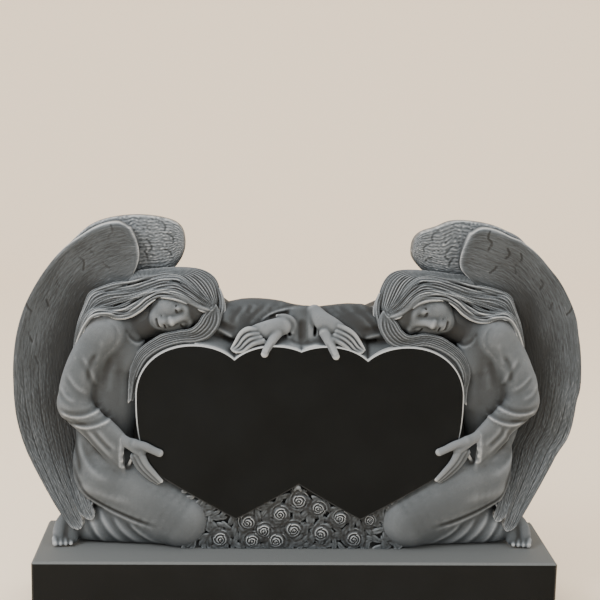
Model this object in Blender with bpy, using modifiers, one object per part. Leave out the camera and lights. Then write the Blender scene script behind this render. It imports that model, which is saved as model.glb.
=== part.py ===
# Companion headstone: two kneeling angels lean on a double heart, on a plain base.
# The carved upper stone is one block of granite, and it stands on a second one.
# Metres, +Z up, the front faces -Y. The origin is under the middle of the base.

import math

import bmesh
import bpy
from mathutils import Matrix, Vector

# Driving dimensions
BASE_LENGTH = 1.524
BASE_DEPTH = 0.356
BASE_HEIGHT = 0.203
BASE_CHAMFER = 0.006
STONE_LENGTH = 1.674
STONE_DEPTH = 0.203
STONE_HEIGHT = 0.972
SETTING_GAP = 0.0003
TABLET_CHAMFER = 0.004

# The carving is drawn on a grid of its own, in thousandths of a unit, and then takes the
# stone's size. Depths on it are half as deep again as on the stone: the relief is flattened.
GRID_LENGTH = 1674
GRID_DEPTH = 270
GRID_HEIGHT = 975
GRID_BACK = GRID_DEPTH / 2
TABLET_FRONT = -111
TABLET_BACK = 40
TABLET_ASIDE = 6.5
WING_CORE_FRONT = GRID_BACK - 105
WING_CORE_BACK = GRID_BACK - 35

# The carving's fineness: cells along the stone's height, and the share of faces kept
CELLS_IN_HEIGHT = 150
SMOOTHING_PASSES = 2
FACES_KEPT = 0.0345

LEFT, RIGHT = -1, 1

# The right angel is not quite the left one's mirror image. Round each of these places, given
# outwards and up, it lies this much further outwards and up.
RIGHT_SHIFTS = [(335, 898, -3, -20), (535, 964, 6, -3), (700, 870, 10, 6), (770, 770, 16, 8),
                (832, 550, 13, 0), (806, 372, 3, 0), (770, 255, -15, 0), (716, 142, -15, 0),
                (716, 40, -8, 0), (330, 70, -6, 0), (390, 260, 15, 8), (505, 230, 24, 22),
                (700, 440, 12, 18), (640, 610, 13, 4), (438, 690, 18, 0), (245, 728, 3, -15),
                (320, 825, 0, 8), (560, 100, 0, 0)]
SHIFT_REACH = 60
SHIFTED_FROM = 190
NO_SHIFT_WEIGHT = 0.0001

FROSTED = ("frosted_granite", (0.150, 0.158, 0.165), 0.75)
POLISHED = ("polished_granite", (0.012, 0.013, 0.013), 0.12)


def clear_scene():
    for obj in list(bpy.data.objects):
        bpy.data.objects.remove(obj, do_unlink=True)


def new_collection(name):
    collection = bpy.data.collections.new(name)
    bpy.context.scene.collection.children.link(collection)
    return collection


def granite(name, colour, roughness):
    material = bpy.data.materials.new(name)
    material.use_nodes = True
    shader = material.node_tree.nodes["Principled BSDF"]
    shader.inputs["Base Color"].default_value = (*colour, 1.0)
    shader.inputs["Roughness"].default_value = roughness
    shader.inputs["Metallic"].default_value = 0.0
    return material


def smooth_path(knots, steps):
    """Points on a smooth curve through the knots. A knot is x, y, z and a radius."""
    knots = [Vector(knot) for knot in knots]
    if len(knots) < 3:
        return [knots[0].lerp(knots[-1], step / steps) for step in range(steps + 1)]
    ends = [knots[0] * 2 - knots[1], *knots, knots[-1] * 2 - knots[-2]]
    path = []
    for a, b, c, d in zip(ends, ends[1:], ends[2:], ends[3:]):
        for step in range(steps):
            t = step / steps
            path.append(
                0.5 * (b * 2 + (c - a) * t + (a * 2 - b * 5 + c * 4 - d) * t * t
                       + (b * 3 - a - c * 3 + d) * t ** 3)
            )
    return path + [knots[-1]]


class Carving:
    """Rounded forms on the carving grid, gathered in one mesh and one curve."""

    def __init__(self, name):
        self.name = name
        self.balls = bmesh.new()
        self.strokes = bpy.data.curves.new(name + "_strokes", "CURVE")
        self.strokes.dimensions = "3D"
        self.strokes.bevel_depth = 1.0
        self.strokes.bevel_resolution = 3
        self.strokes.use_fill_caps = True

    def ball(self, centre, radii, side=RIGHT):
        x, y, z = centre
        matrix = Matrix.Translation((x * side, y, z)) @ Matrix.Diagonal((*radii, 1))
        bmesh.ops.create_icosphere(self.balls, subdivisions=3, radius=1, matrix=matrix)

    def stroke(self, knots, side=RIGHT, steps=5):
        """A round stroke of changing thickness, with rounded ends."""
        path = smooth_path([(x * side, y, z, r) for x, y, z, r in knots], steps)
        spline = self.strokes.splines.new("POLY")
        spline.points.add(len(path) - 1)
        for point, (x, y, z, radius) in zip(spline.points, path):
            point.co = (x, y, z, 1)
            point.radius = max(radius, 1)
        for x, y, z, radius in (path[0], path[-1]):
            matrix = Matrix.Translation((x, y, z)) @ Matrix.Scale(max(radius, 1), 4)
            bmesh.ops.create_icosphere(self.balls, subdivisions=2, radius=1, matrix=matrix)

    def fan(self, first, last, count, side=RIGHT, steps=4):
        """Strokes side by side, from the first line of knots to the last."""
        for index in range(count):
            share = index / (count - 1)
            self.stroke([Vector(a).lerp(Vector(b), share) for a, b in zip(first, last)], side, steps)

    def slab(self, outline, front, back):
        """A flat piece with this outline of x and z, between two depths."""
        bottom = [self.balls.verts.new((x, back, z)) for x, z in outline]
        face = self.balls.faces.new(bottom)
        made = bmesh.ops.extrude_face_region(self.balls, geom=[face])
        moved = [v for v in made["geom"] if isinstance(v, bmesh.types.BMVert)]
        bmesh.ops.translate(self.balls, vec=(0, front - back, 0), verts=moved)

    def to_object(self, collection):
        """One mesh object of all the forms, at the stone's real size and place."""
        guide = bpy.data.objects.new(self.strokes.name, self.strokes)
        collection.objects.link(guide)
        graph = bpy.context.evaluated_depsgraph_get()
        tubes = bpy.data.meshes.new_from_object(guide.evaluated_get(graph))
        self.balls.from_mesh(tubes)
        bmesh.ops.remove_doubles(self.balls, verts=self.balls.verts, dist=0.01)
        bmesh.ops.recalc_face_normals(self.balls, faces=self.balls.faces)
        for vert in self.balls.verts:
            if vert.co.x > SHIFTED_FROM:
                vert.co += right_shift(vert.co.x, vert.co.z)
        self.balls.transform(grid_to_stone())
        mesh = bpy.data.meshes.new(self.name)
        self.balls.to_mesh(mesh)
        self.balls.free()
        bpy.data.objects.remove(guide)
        bpy.data.meshes.remove(tubes)
        obj = bpy.data.objects.new(self.name, mesh)
        collection.objects.link(obj)
        return obj


def right_shift(x, z):
    """How far the right angel's form is moved here, against the left one's mirror image."""
    total = Vector((0, 0, 0))
    weights = NO_SHIFT_WEIGHT
    for at_x, at_z, out, up in RIGHT_SHIFTS:
        weight = math.exp(-((x - at_x) ** 2 + (z - at_z) ** 2) / SHIFT_REACH ** 2)
        total += Vector((out, 0, up)) * weight
        weights += weight
    return total / weights * min((x - SHIFTED_FROM) / SHIFT_REACH, 1)


def grid_to_stone():
    place = Matrix.Translation((0, 0, BASE_HEIGHT + SETTING_GAP))
    scale = (STONE_LENGTH / GRID_LENGTH, STONE_DEPTH / GRID_DEPTH, STONE_HEIGHT / GRID_HEIGHT, 1)
    return place @ Matrix.Diagonal(scale)


def bezier(a, b, c, d, steps):
    return [
        (
            (1 - t) ** 3 * a[0] + 3 * (1 - t) ** 2 * t * b[0] + 3 * (1 - t) * t * t * c[0] + t ** 3 * d[0],
            (1 - t) ** 3 * a[1] + 3 * (1 - t) ** 2 * t * b[1] + 3 * (1 - t) * t * t * c[1] + t ** 3 * d[1],
        )
        for t in (step / steps for step in range(steps))
    ]


# The heart, as half widths and heights on the grid, from the cleft down to the tip. Its axis
# leans: the clefts are further from the tablet's middle than the tips.
CLEFT_AXIS = 193
TIP_AXIS = 183
CLEFT = (0, 581)
LOBE_TOP = (117, 621)
HEART_SIDE = (287, 465)
HEART_HIP = (208, 218)
HEART_TIP = (0, 96)


def heart_half():
    """Half a heart from the cleft to the tip, its own axis at x = 0."""
    return (
        bezier(CLEFT, (28, 606), (70, 621), LOBE_TOP, 8)
        + bezier(LOBE_TOP, (215, 621), (287, 556), HEART_SIDE, 10)
        + bezier(HEART_SIDE, (290, 350), (275, 262), HEART_HIP, 8)
        + bezier(HEART_HIP, (140, 174), (60, 128), HEART_TIP, 6)
        + [HEART_TIP]
    )


def double_heart():
    """The outline of two overlapping hearts, which cross on the tablet's middle line."""
    half = heart_half()
    lean = (CLEFT_AXIS - TIP_AXIS) / (CLEFT[1] - HEART_TIP[1])
    axes = [TIP_AXIS + lean * (z - HEART_TIP[1]) for _, z in half]
    outer = [(axis + x, z) for axis, (x, z) in zip(axes, half)]
    inner = [(axis - x, z) for axis, (x, z) in zip(axes, half)]
    top = [p for p in inner if p[0] > 0 and p[1] > HEART_SIDE[1]]
    low = [p for p in inner if p[0] > 0 and p[1] < HEART_SIDE[1]]
    notch, peak = crossings(inner)
    right = top[::-1] + outer[1:-1] + low[::-1]
    left = [(-x, z) for x, z in right][::-1]
    return [(0, notch)] + right + [(0, peak)] + left


def crossings(line):
    """The heights at which a line crosses x = 0."""
    return [
        za + (zb - za) * xa / (xa - xb)
        for (xa, za), (xb, zb) in zip(line, line[1:])
        if xa * xb < 0
    ]


# Landmarks of one angel on the grid: x from the stone's middle outwards, depth, height
HIP = (552, 15, 205)
WAIST = (570, 15, 330)
CHEST = (556, 5, 500)
COLLAR = (525, -5, 640)
NECK = (425, -20, 690)
HEAD = (322, -32, 732)
SHOULDER = (572, -70, 650)
ELBOW = (645, -78, 440)
WRIST = (508, -105, 335)
KNEE = (340, -50, 84)
ANKLE = (660, -10, 56)


def body(stone, side):
    """The robed body: trunk, thigh and the shin folded under it."""
    stone.stroke([(*HIP, 94), (*WAIST, 85), (*CHEST, 90), (*COLLAR, 74)], side)
    stone.stroke([(*COLLAR, 60), (470, -15, 672, 46), (*NECK, 44), (360, -25, 710, 50)], side)
    stone.stroke([(*HIP, 98), (455, -20, 152, 103), (*KNEE, 84)], side)
    stone.stroke([(352, -35, 70, 68), (480, -15, 62, 62), (600, -5, 58, 55), (*ANKLE, 40)], side)
    stone.ball((500, -38, 585), (55, 50, 62), side)
    stone.ball((520, -10, 450), (50, 60, 130), side)
    # the core between the knee and the heart's back
    stone.ball((355, 10, 190), (50, 40, 50), side)
    # the sole and heel of the foot, with its toes on the base
    stone.stroke([(660, -35, 74, 27), (684, -45, 44, 26), (690, -50, 18, 20)], side)
    for toe in range(4):
        stone.stroke([(684 - 12 * toe, -62 - 4 * toe, 20, 11), (694 - 14 * toe, -76 - 4 * toe, 11, 10)], side)


def robe_folds(stone, side):
    """Raised folds on the skirt and the hem."""
    stone.stroke([(650, -25, 230, 8), (625, -62, 178, 11), (555, -84, 128, 12), (470, -88, 106, 11),
                  (405, -96, 86, 7)], side)
    for fold in range(4):
        foot_x = 500 - 42 * fold
        stone.stroke([(590 - 40 * fold, -62, 104 - 5 * fold, 6), (560 - 42 * fold, -70, 60, 9),
                      (foot_x, -72, 16, 8)], side)


def near_arm(stone, side):
    """The arm on the viewer's side, in a full sleeve, with its hand on the heart."""
    stone.ball(SHOULDER, (64, 52, 60), side)
    stone.stroke([(*SHOULDER, 56), (612, -76, 550, 52), (*ELBOW, 46)], side)
    stone.stroke([(*ELBOW, 46), (588, -88, 390, 40), (*WRIST, 34)], side)
    # the wide cuff hangs below the wrist
    stone.fan([(600, -75, 385, 20), (560, -88, 350, 20), (507, -98, 345, 16)],
              [(625, -68, 352, 14), (556, -84, 288, 13), (503, -90, 240, 9)], 4, side)
    for fold in range(3):
        stone.stroke([(683 - 6 * fold, -90, 425 - 22 * fold, 6), (636, -118 + 5 * fold, 420 - 22 * fold, 8),
                      (585, -112, 436 - 24 * fold, 6)], side)
    # palm, thumb and two fingers
    stone.stroke([(*WRIST, 22), (478, -112, 322, 24), (455, -112, 303, 22)], side)
    stone.stroke([(466, -118, 330, 15), (430, -124, 320, 15), (396, -124, 306, 13)], side)
    for finger in range(3):
        stone.stroke([(452 + 8 * finger, -122 + 7 * finger, 300 - 3 * finger, 14),
                      (428 + 9 * finger, -124 + 7 * finger, 258 - 3 * finger, 12),
                      (392 + 10 * finger, -120 + 7 * finger, 224 - 2 * finger, 9)], side)


def head(stone, side):
    """A calm, plain face that looks out and down, its crown turned to the middle."""
    tilt = math.radians(22)
    up = Vector((-math.cos(tilt), 0, math.sin(tilt)))
    forward = Vector((0.20, -0.86, -0.46))
    forward = (forward - up * forward.dot(up)).normalized()
    across = up.cross(forward)

    def at(right, high, ahead):
        return Vector(HEAD) + across * right + up * high + forward * ahead

    stone.stroke([(*at(0, 38, -14), 76), (*at(0, 10, -6), 76)], side)
    stone.stroke([(*at(0, 0, 18), 60), (*at(0, -52, 28), 50)], side)
    stone.ball(at(0, -88, 50), (24, 22, 22), side)
    # brow, nose and lips
    stone.stroke([(*at(-42, 12, 66), 11), (*at(0, 14, 80), 10), (*at(42, 12, 66), 11)], side)
    stone.stroke([(*at(0, 10, 80), 8), (*at(0, -12, 92), 9), (*at(0, -34, 100), 12)], side)
    for eye in (-31, 31):
        stone.ball(at(eye, -2, 64), (16, 14, 12), side)
        stone.ball(at(eye * 1.15, -32, 56), (26, 24, 24), side)
    stone.stroke([(*at(-22, -60, 74), 5), (*at(0, -57, 84), 7), (*at(22, -60, 74), 5)], side)
    stone.stroke([(*at(-18, -70, 72), 5), (*at(0, -71, 82), 8), (*at(18, -70, 72), 5)], side)


def hair(stone, side):
    """Long locks: over the crown, back over the shoulder, and down along the heart."""
    crown_top = [(400, -10, 800, 17), (345, -18, 822, 18), (285, -28, 812, 16), (245, -40, 775, 14),
                 (238, -55, 735, 11)]
    crown_low = [(385, -72, 776, 12), (350, -88, 768, 14), (305, -92, 756, 14), (270, -84, 742, 12),
                 (246, -72, 722, 10)]
    stone.fan(crown_top, crown_low, 6, side)
    flow_top = [(345, -20, 812, 14), (420, -20, 790, 15), (480, -22, 776, 15), (540, -22, 770, 15),
                (588, -22, 742, 15), (620, -30, 690, 14), (640, -34, 620, 11)]
    flow_low = [(372, -78, 770, 11), (420, -66, 728, 12), (468, -72, 700, 12), (530, -88, 712, 12),
                (580, -108, 712, 12), (612, -100, 668, 11), (634, -78, 606, 9)]
    stone.fan(flow_top, flow_low, 7, side)
    tress_out = [(236, -48, 742, 12), (236, -62, 690, 13), (262, -80, 650, 12), (320, -92, 634, 11),
                 (385, -94, 618, 11), (436, -88, 572, 10), (460, -80, 515, 8)]
    tress_in = [(262, -76, 715, 11), (270, -84, 685, 12), (306, -90, 662, 12), (360, -88, 650, 12),
                (412, -80, 632, 11), (452, -72, 590, 10), (474, -68, 528, 8)]
    stone.fan(tress_out, tress_in, 3, side)


def near_wing(stone, side):
    """The wing on the viewer's side: long feathers in a deep curve, and a rolled leading edge."""
    outer = [(500, 0, 928, 20), (575, -2, 922, 22), (660, 0, 872, 24), (722, 2, 800, 24),
             (770, 2, 710, 24), (800, 0, 610, 24), (808, -5, 500, 24), (800, -14, 390, 24),
             (770, -26, 280, 22), (718, -42, 178, 20), (656, -58, 66, 16)]
    inner = [(500, 18, 842, 20), (540, 30, 800, 24), (575, 42, 730, 26), (610, 50, 650, 28),
             (636, 55, 560, 28), (648, 55, 480, 28), (655, 50, 400, 28), (656, 36, 320, 26),
             (648, 10, 240, 22), (630, -25, 160, 18), (612, -55, 66, 14)]
    stone.fan(outer, inner, 8, side)
    # covert feathers lie over the top of the long ones, in two rows
    for row in range(2):
        reach = 5 - 2 * row
        lift = 12 + 7 * row
        stone.fan([(x, y - lift, z, r - 5) for x, y, z, r in outer[:reach]],
                  [(x, y - lift, z, r - 6) for x, y, z, r in inner[:reach]], 6, side)
    stone.stroke([(484, -5, 800, 14), (478, -14, 850, 15), (472, -18, 895, 15), (490, -20, 926, 15),
                  (530, -20, 938, 14), (590, -18, 930, 13), (650, -14, 900, 11)], side)


def far_wing(stone, side):
    """The wing behind: its top shows over the head, and its feathers show from the back."""
    outer = [(352, 57, 896, 20), (386, 51, 938, 22), (460, 47, 950, 24), (550, 43, 932, 24),
             (640, 40, 874, 26), (702, 37, 790, 27), (744, 37, 690, 27), (764, 37, 580, 27),
             (766, 37, 470, 27), (748, 39, 360, 26), (712, 43, 260, 24), (670, 47, 165, 20)]
    inner = [(358, 57, 852, 18), (393, 51, 838, 20), (460, 45, 832, 24), (520, 39, 798, 28),
             (560, 37, 730, 30), (590, 37, 640, 30), (606, 37, 550, 30), (614, 37, 460, 30),
             (620, 37, 380, 30), (624, 39, 300, 28), (628, 43, 220, 24), (636, 47, 150, 18)]
    # the second number is the distance in front of the stone's back
    outer, inner = ([(x, GRID_BACK - inset, z, r) for x, inset, z, r in line] for line in (outer, inner))
    stone.fan(outer, inner, 7, side)
    stone.fan([(x, y - 20, z, r - 6) for x, y, z, r in outer[:4]],
              [(x, y - 20, z, r - 5) for x, y, z, r in inner[:4]], 4, side)


def top_arm(stone, side, reach, drop):
    """The arm that lies along the top of the hearts, and its hand beyond the middle."""
    stone.stroke([(430, 20, 690, 50), (300, 20, 690, 52), (220, 12, 682, 48), (150, 5, 686, 54),
                  (60, 0, 688 + drop, 50), (-20, -12, 684 + drop, 44)], side)
    for fold in range(5):
        stone.stroke([(190 - 34 * fold, -10, 734, 6), (206 - 34 * fold, -48, 690, 8),
                      (226 - 34 * fold, -52, 650, 6)], side)
    cuff = [(-22, -30, 730 + drop, 12), (-34, -52, 690 + drop, 15), (-30, -48, 630, 15)]
    stone.fan([(10, -30, 726 + drop, 14), (0, -48, 690 + drop, 16), (10, -44, 634, 14)], cuff, 3, side)
    wrist = (-reach, -62, 690 + drop)
    stone.stroke([(*wrist, 24), (-reach - 42, -76, 676 + drop, 28), (-reach - 82, -78, 658, 22)], side)
    stone.stroke([(-reach - 30, -96, 652, 15), (-reach - 44, -118, 622, 14),
                  (-reach - 56, -124, 588, 13)], side)
    for finger in range(4):
        stone.stroke([(-reach - 66, -92 + 13 * finger, 648 + 7 * finger, 13),
                      (-reach - 106 - 2 * finger, -92 + 12 * finger, 642 + 8 * finger, 12),
                      (-reach - 138 - 2 * finger, -94 + 11 * finger, 612 + 5 * finger, 9)], side)


# Where the roses open, across and up the bed under the hearts, on the grid
ROSES = [(8, 151), (67, 128), (-47, 110), (132, 97), (222, 92), (-142, 84), (-93, 58), (-7, 62),
         (76, 50), (-222, 32), (-131, 24), (-56, 24), (173, 34), (-206, 92), (24, 14), (118, 10),
         (228, 34)]
ROSE_RADIUS = 27
ROSE_FRONT = -96


def rose(stone, x, z):
    """A rose: a cup of outer petals around a raised bud."""
    stone.ball((x, ROSE_FRONT + 22, z), (ROSE_RADIUS, 24, ROSE_RADIUS), RIGHT)
    for petal in range(5):
        turn = petal * math.tau / 5 + x
        out = ROSE_RADIUS - 9
        stone.ball((x + out * math.cos(turn), ROSE_FRONT + 9, z + out * math.sin(turn)), (12, 10, 12), RIGHT)
    stone.ball((x, ROSE_FRONT + 2, z), (11, 12, 11), RIGHT)


def leaf(stone, x, z, turn):
    """A pointed leaf that lies between the roses."""
    along = Vector((math.cos(turn), 0, math.sin(turn)))
    middle = Vector((x, ROSE_FRONT + 22, z))
    root = Vector((x, ROSE_FRONT + 34, z)) - along * 26
    tip = Vector((x, ROSE_FRONT + 34, z)) + along * 26
    stone.stroke([(*root, 3), (*middle, 12), (*tip, 3)], RIGHT)


def rose_bed(stone):
    """The bed that fills the space under the hearts, with its roses and leaves."""
    bed = [(-330, 0), (330, 0), (330, 180), (TIP_AXIS, 105), (0, 200), (-TIP_AXIS, 105), (-330, 180)]
    stone.slab(bed[::-1], -62, 40)
    for x, z in ROSES:
        rose(stone, x, max(z, ROSE_RADIUS))
        for step in range(3):
            turn = x * 0.7 + step * math.tau / 3
            reach = ROSE_RADIUS + 12
            leaf_z = max(z + reach * math.sin(turn), 14)
            if leaf_z < 160 - abs(abs(x) * 0.45):
                leaf(stone, x + reach * math.cos(turn), leaf_z, turn + 1.1)


def backing(stone):
    """The stone's core behind the carving: plain, and flat at the back."""
    half = [(0, 705), (180, 705), (235, 745), (300, 785), (400, 780), (520, 770), (590, 700),
            (625, 560), (640, 400), (640, 250), (650, 100), (668, 0)]
    outline = half[::-1] + [(-x, z) for x, z in half[1:]]
    stone.slab(outline, 20, GRID_BACK + 5)
    wing_half = [(470, 840), (500, 920), (580, 918), (660, 868), (720, 790), (766, 700), (794, 600),
                 (800, 500), (794, 390), (764, 280), (714, 180), (650, 70), (600, 70), (600, 500)]
    for side in (LEFT, RIGHT):
        shape = [(x * side, z) for x, z in wing_half]
        stone.slab(shape if side == LEFT else shape[::-1], WING_CORE_FRONT, WING_CORE_BACK)


def carve_angels(collection):
    """Everything that is carved, as one rough mesh of overlapping rounded forms."""
    stone = Carving("angel_stone")
    for side in (LEFT, RIGHT):
        body(stone, side)
        robe_folds(stone, side)
        near_arm(stone, side)
        head(stone, side)
        hair(stone, side)
        near_wing(stone, side)
        far_wing(stone, side)
    top_arm(stone, LEFT, reach=52, drop=8)
    top_arm(stone, RIGHT, reach=36, drop=0)
    rose_bed(stone)
    backing(stone)
    return stone.to_object(collection)


def tablet(collection):
    """The double heart, a flat slab that stands proud of the carving behind it."""
    curve = bpy.data.curves.new("tablet", "CURVE")
    curve.dimensions = "2D"
    curve.fill_mode = "BOTH"
    curve.extrude = (TABLET_BACK - TABLET_FRONT) / 2
    spline = curve.splines.new("POLY")
    outline = double_heart()
    spline.points.add(len(outline) - 1)
    for point, (x, z) in zip(spline.points, outline):
        point.co = (x, z, 0, 1)
    spline.use_cyclic_u = True
    guide = bpy.data.objects.new("tablet_guide", curve)
    collection.objects.link(guide)
    mesh = bpy.data.meshes.new_from_object(guide.evaluated_get(bpy.context.evaluated_depsgraph_get()))
    upright = Matrix.Rotation(math.radians(90), 4, "X")
    middle = Matrix.Translation((TABLET_ASIDE, (TABLET_BACK + TABLET_FRONT) / 2, 0))
    mesh.transform(grid_to_stone() @ middle @ upright)
    bpy.data.objects.remove(guide)
    shape = bmesh.new()
    shape.from_mesh(mesh)
    bmesh.ops.remove_doubles(shape, verts=shape.verts, dist=1e-5)
    shape.to_mesh(mesh)
    shape.free()
    obj = bpy.data.objects.new("tablet_cutter", mesh)
    collection.objects.link(obj)
    bevel = obj.modifiers.new("Rim", "BEVEL")
    bevel.width = TABLET_CHAMFER
    bevel.segments = 1
    bevel.limit_method = "ANGLE"
    bevel.angle_limit = math.radians(60)
    obj.hide_render = True
    obj.display_type = "WIRE"
    return obj


def block(collection, name, length, depth, low, high):
    shape = bmesh.new()
    size = Matrix.Diagonal((length, depth, high - low, 1))
    middle = Matrix.Translation((0, 0, (low + high) / 2))
    bmesh.ops.create_cube(shape, size=1, matrix=middle @ size)
    mesh = bpy.data.meshes.new(name)
    shape.to_mesh(mesh)
    shape.free()
    obj = bpy.data.objects.new(name, mesh)
    collection.objects.link(obj)
    return obj


def add_boolean(obj, cutter, operation):
    modifier = obj.modifiers.new(operation.title(), "BOOLEAN")
    modifier.operation = operation
    modifier.object = cutter
    modifier.solver = "EXACT"
    modifier.use_self = True


def upper_stone(parts, cutters):
    """The carved stone: forms fused into one skin, cut to the block it came from."""
    stone = carve_angels(parts)
    fuse = stone.modifiers.new("Fuse", "REMESH")
    fuse.mode = "VOXEL"
    fuse.voxel_size = STONE_HEIGHT / CELLS_IN_HEIGHT
    soften = stone.modifiers.new("Soften", "SMOOTH")
    soften.factor = 0.5
    soften.iterations = SMOOTHING_PASSES
    thin = stone.modifiers.new("Thin", "DECIMATE")
    thin.ratio = FACES_KEPT
    low = BASE_HEIGHT + SETTING_GAP
    sawn = block(cutters, "sawn_block", STONE_LENGTH * 1.2, STONE_DEPTH, low, low + STONE_HEIGHT * 1.2)
    sawn.hide_render = True
    sawn.display_type = "WIRE"
    add_boolean(stone, sawn, "INTERSECT")
    add_boolean(stone, tablet(cutters), "UNION")
    stone.data.materials.append(granite(*FROSTED))
    return stone


def base(parts):
    """The polished block that the carved stone stands on."""
    obj = block(parts, "base", BASE_LENGTH, BASE_DEPTH, 0, BASE_HEIGHT)
    bevel = obj.modifiers.new("Chamfer", "BEVEL")
    bevel.width = BASE_CHAMFER
    bevel.segments = 1
    obj.data.materials.append(granite(*POLISHED))
    return obj


def main():
    clear_scene()
    parts = new_collection("companion_headstone")
    cutters = new_collection("cutters")
    base(parts)
    upper_stone(parts, cutters)


main()
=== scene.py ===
# Companion headstone in black granite: two kneeling angels, a double heart and roses.
# Forms are modelled as distance fields on voxel blocks, and wings as lofted sheets.
import math
import bmesh
import bpy
import numpy as np
import openvdb
from mathutils import Matrix, Vector


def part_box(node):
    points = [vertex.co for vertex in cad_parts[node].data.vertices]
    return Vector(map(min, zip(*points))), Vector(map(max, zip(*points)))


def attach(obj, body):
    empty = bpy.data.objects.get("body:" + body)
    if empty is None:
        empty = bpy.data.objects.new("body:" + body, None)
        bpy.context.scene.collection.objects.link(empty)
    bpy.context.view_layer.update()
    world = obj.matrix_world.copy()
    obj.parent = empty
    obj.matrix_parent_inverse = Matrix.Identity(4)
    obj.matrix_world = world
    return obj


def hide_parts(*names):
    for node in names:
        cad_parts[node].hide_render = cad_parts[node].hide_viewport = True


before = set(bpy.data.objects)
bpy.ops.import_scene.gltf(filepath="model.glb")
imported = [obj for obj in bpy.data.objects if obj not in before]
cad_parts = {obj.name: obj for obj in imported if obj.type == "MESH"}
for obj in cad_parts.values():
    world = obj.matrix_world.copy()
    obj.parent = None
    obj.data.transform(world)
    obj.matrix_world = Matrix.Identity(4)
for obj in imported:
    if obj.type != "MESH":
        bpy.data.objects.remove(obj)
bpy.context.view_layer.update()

# The carving grid: about a millimetre to the unit, x from the middle, z from the base's top.
# Depths on it are a third deeper than on the stone.
gridLength, gridDepth, gridHeight = 1674, 270, 971
gridBack = gridDepth / 2
stoneLow, stoneHigh = (np.array(corner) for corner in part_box("angel_stone"))
unit = (stoneHigh - stoneLow) / (gridLength, gridDepth, gridHeight)
left, right = 1, -1  # the side that a form's outward x points to
coarse = 1.0  # try-outs use larger voxels

# The right angel isn't quite the left one mirrored: round these places, given outwards and up,
# it lies this much further outwards and up.
rightShifts = np.array([(335, 898, -3, -20), (535, 964, 6, -3), (700, 870, 10, 6), (770, 770, 16, 8),
                        (832, 550, 13, 0), (806, 372, 3, 0), (770, 255, -15, 0), (716, 142, -15, 0),
                        (716, 40, -8, 0), (330, 70, -6, 0), (390, 260, 15, 8), (505, 230, 24, 22),
                        (700, 440, 12, 18), (640, 610, 13, 4), (438, 690, 18, 0), (245, 728, 3, -15),
                        (320, 825, 0, 8), (560, 100, 0, 0)], float)
shiftLook = {"reach": 60, "from": 190, "full": 250, "noShiftWeight": 1e-4}


def toStone(points, side=left, shift=True):
    points = np.array(points, float)
    points[..., 0] *= -side
    if shift:
        away = sum((points[..., i][..., None] - rightShifts[:, j]) ** 2 for i, j in ((0, 0), (2, 1)))
        weight = np.exp(-away / shiftLook["reach"] ** 2)
        move = weight @ rightShifts[:, 2:] / (weight.sum(-1, keepdims=True) + shiftLook["noShiftWeight"])
        near, far = shiftLook["from"], shiftLook["full"]  # no shift at the middle of the stone
        move *= np.clip((points[..., :1] - near) / (far - near), 0, 1)
        points[..., 0] += move[..., 0]
        points[..., 2] += move[..., 1]
    return points * unit + (0, 0, stoneLow[2])


def mix(a, b, share):
    return a + (b - a) * share


def smoothstep(low, high, value):
    t = np.clip((value - low) / (high - low), 0, 1)
    return t * t * (3 - 2 * t)


def beside(way, across, up=0):  # the same way on the front, moved
    return [(x + across, z + up) for x, z in way]


def smoothPath(knots, steps=6):  # points on a smooth curve through the knots
    knots = np.array(knots, float)
    if len(knots) == 2:
        return mix(knots[0], knots[1], np.linspace(0, 1, steps + 1)[:, None])
    ends = np.vstack([2 * knots[0] - knots[1], knots, 2 * knots[-1] - knots[-2]])
    t = (np.arange(steps) / steps)[:, None]
    path = [
        0.5 * (2 * b + (c - a) * t + (2 * a - 5 * b + 4 * c - d) * t * t + (3 * b - a - 3 * c + d) * t ** 3)
        for a, b, c, d in zip(ends, ends[1:], ends[2:], ends[3:])
    ]
    return np.vstack(path + [knots[-1:]])


def evenPath(knots, count):  # the same curve, at an even pace
    path = smoothPath(knots, 12)
    gone = np.concatenate([[0], np.cumsum(np.linalg.norm(np.diff(path[:, :3], axis=0), axis=1))])
    wanted = np.linspace(0, gone[-1], count)
    return np.stack([np.interp(wanted, gone, path[:, i]) for i in range(path.shape[1])], axis=1)


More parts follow.
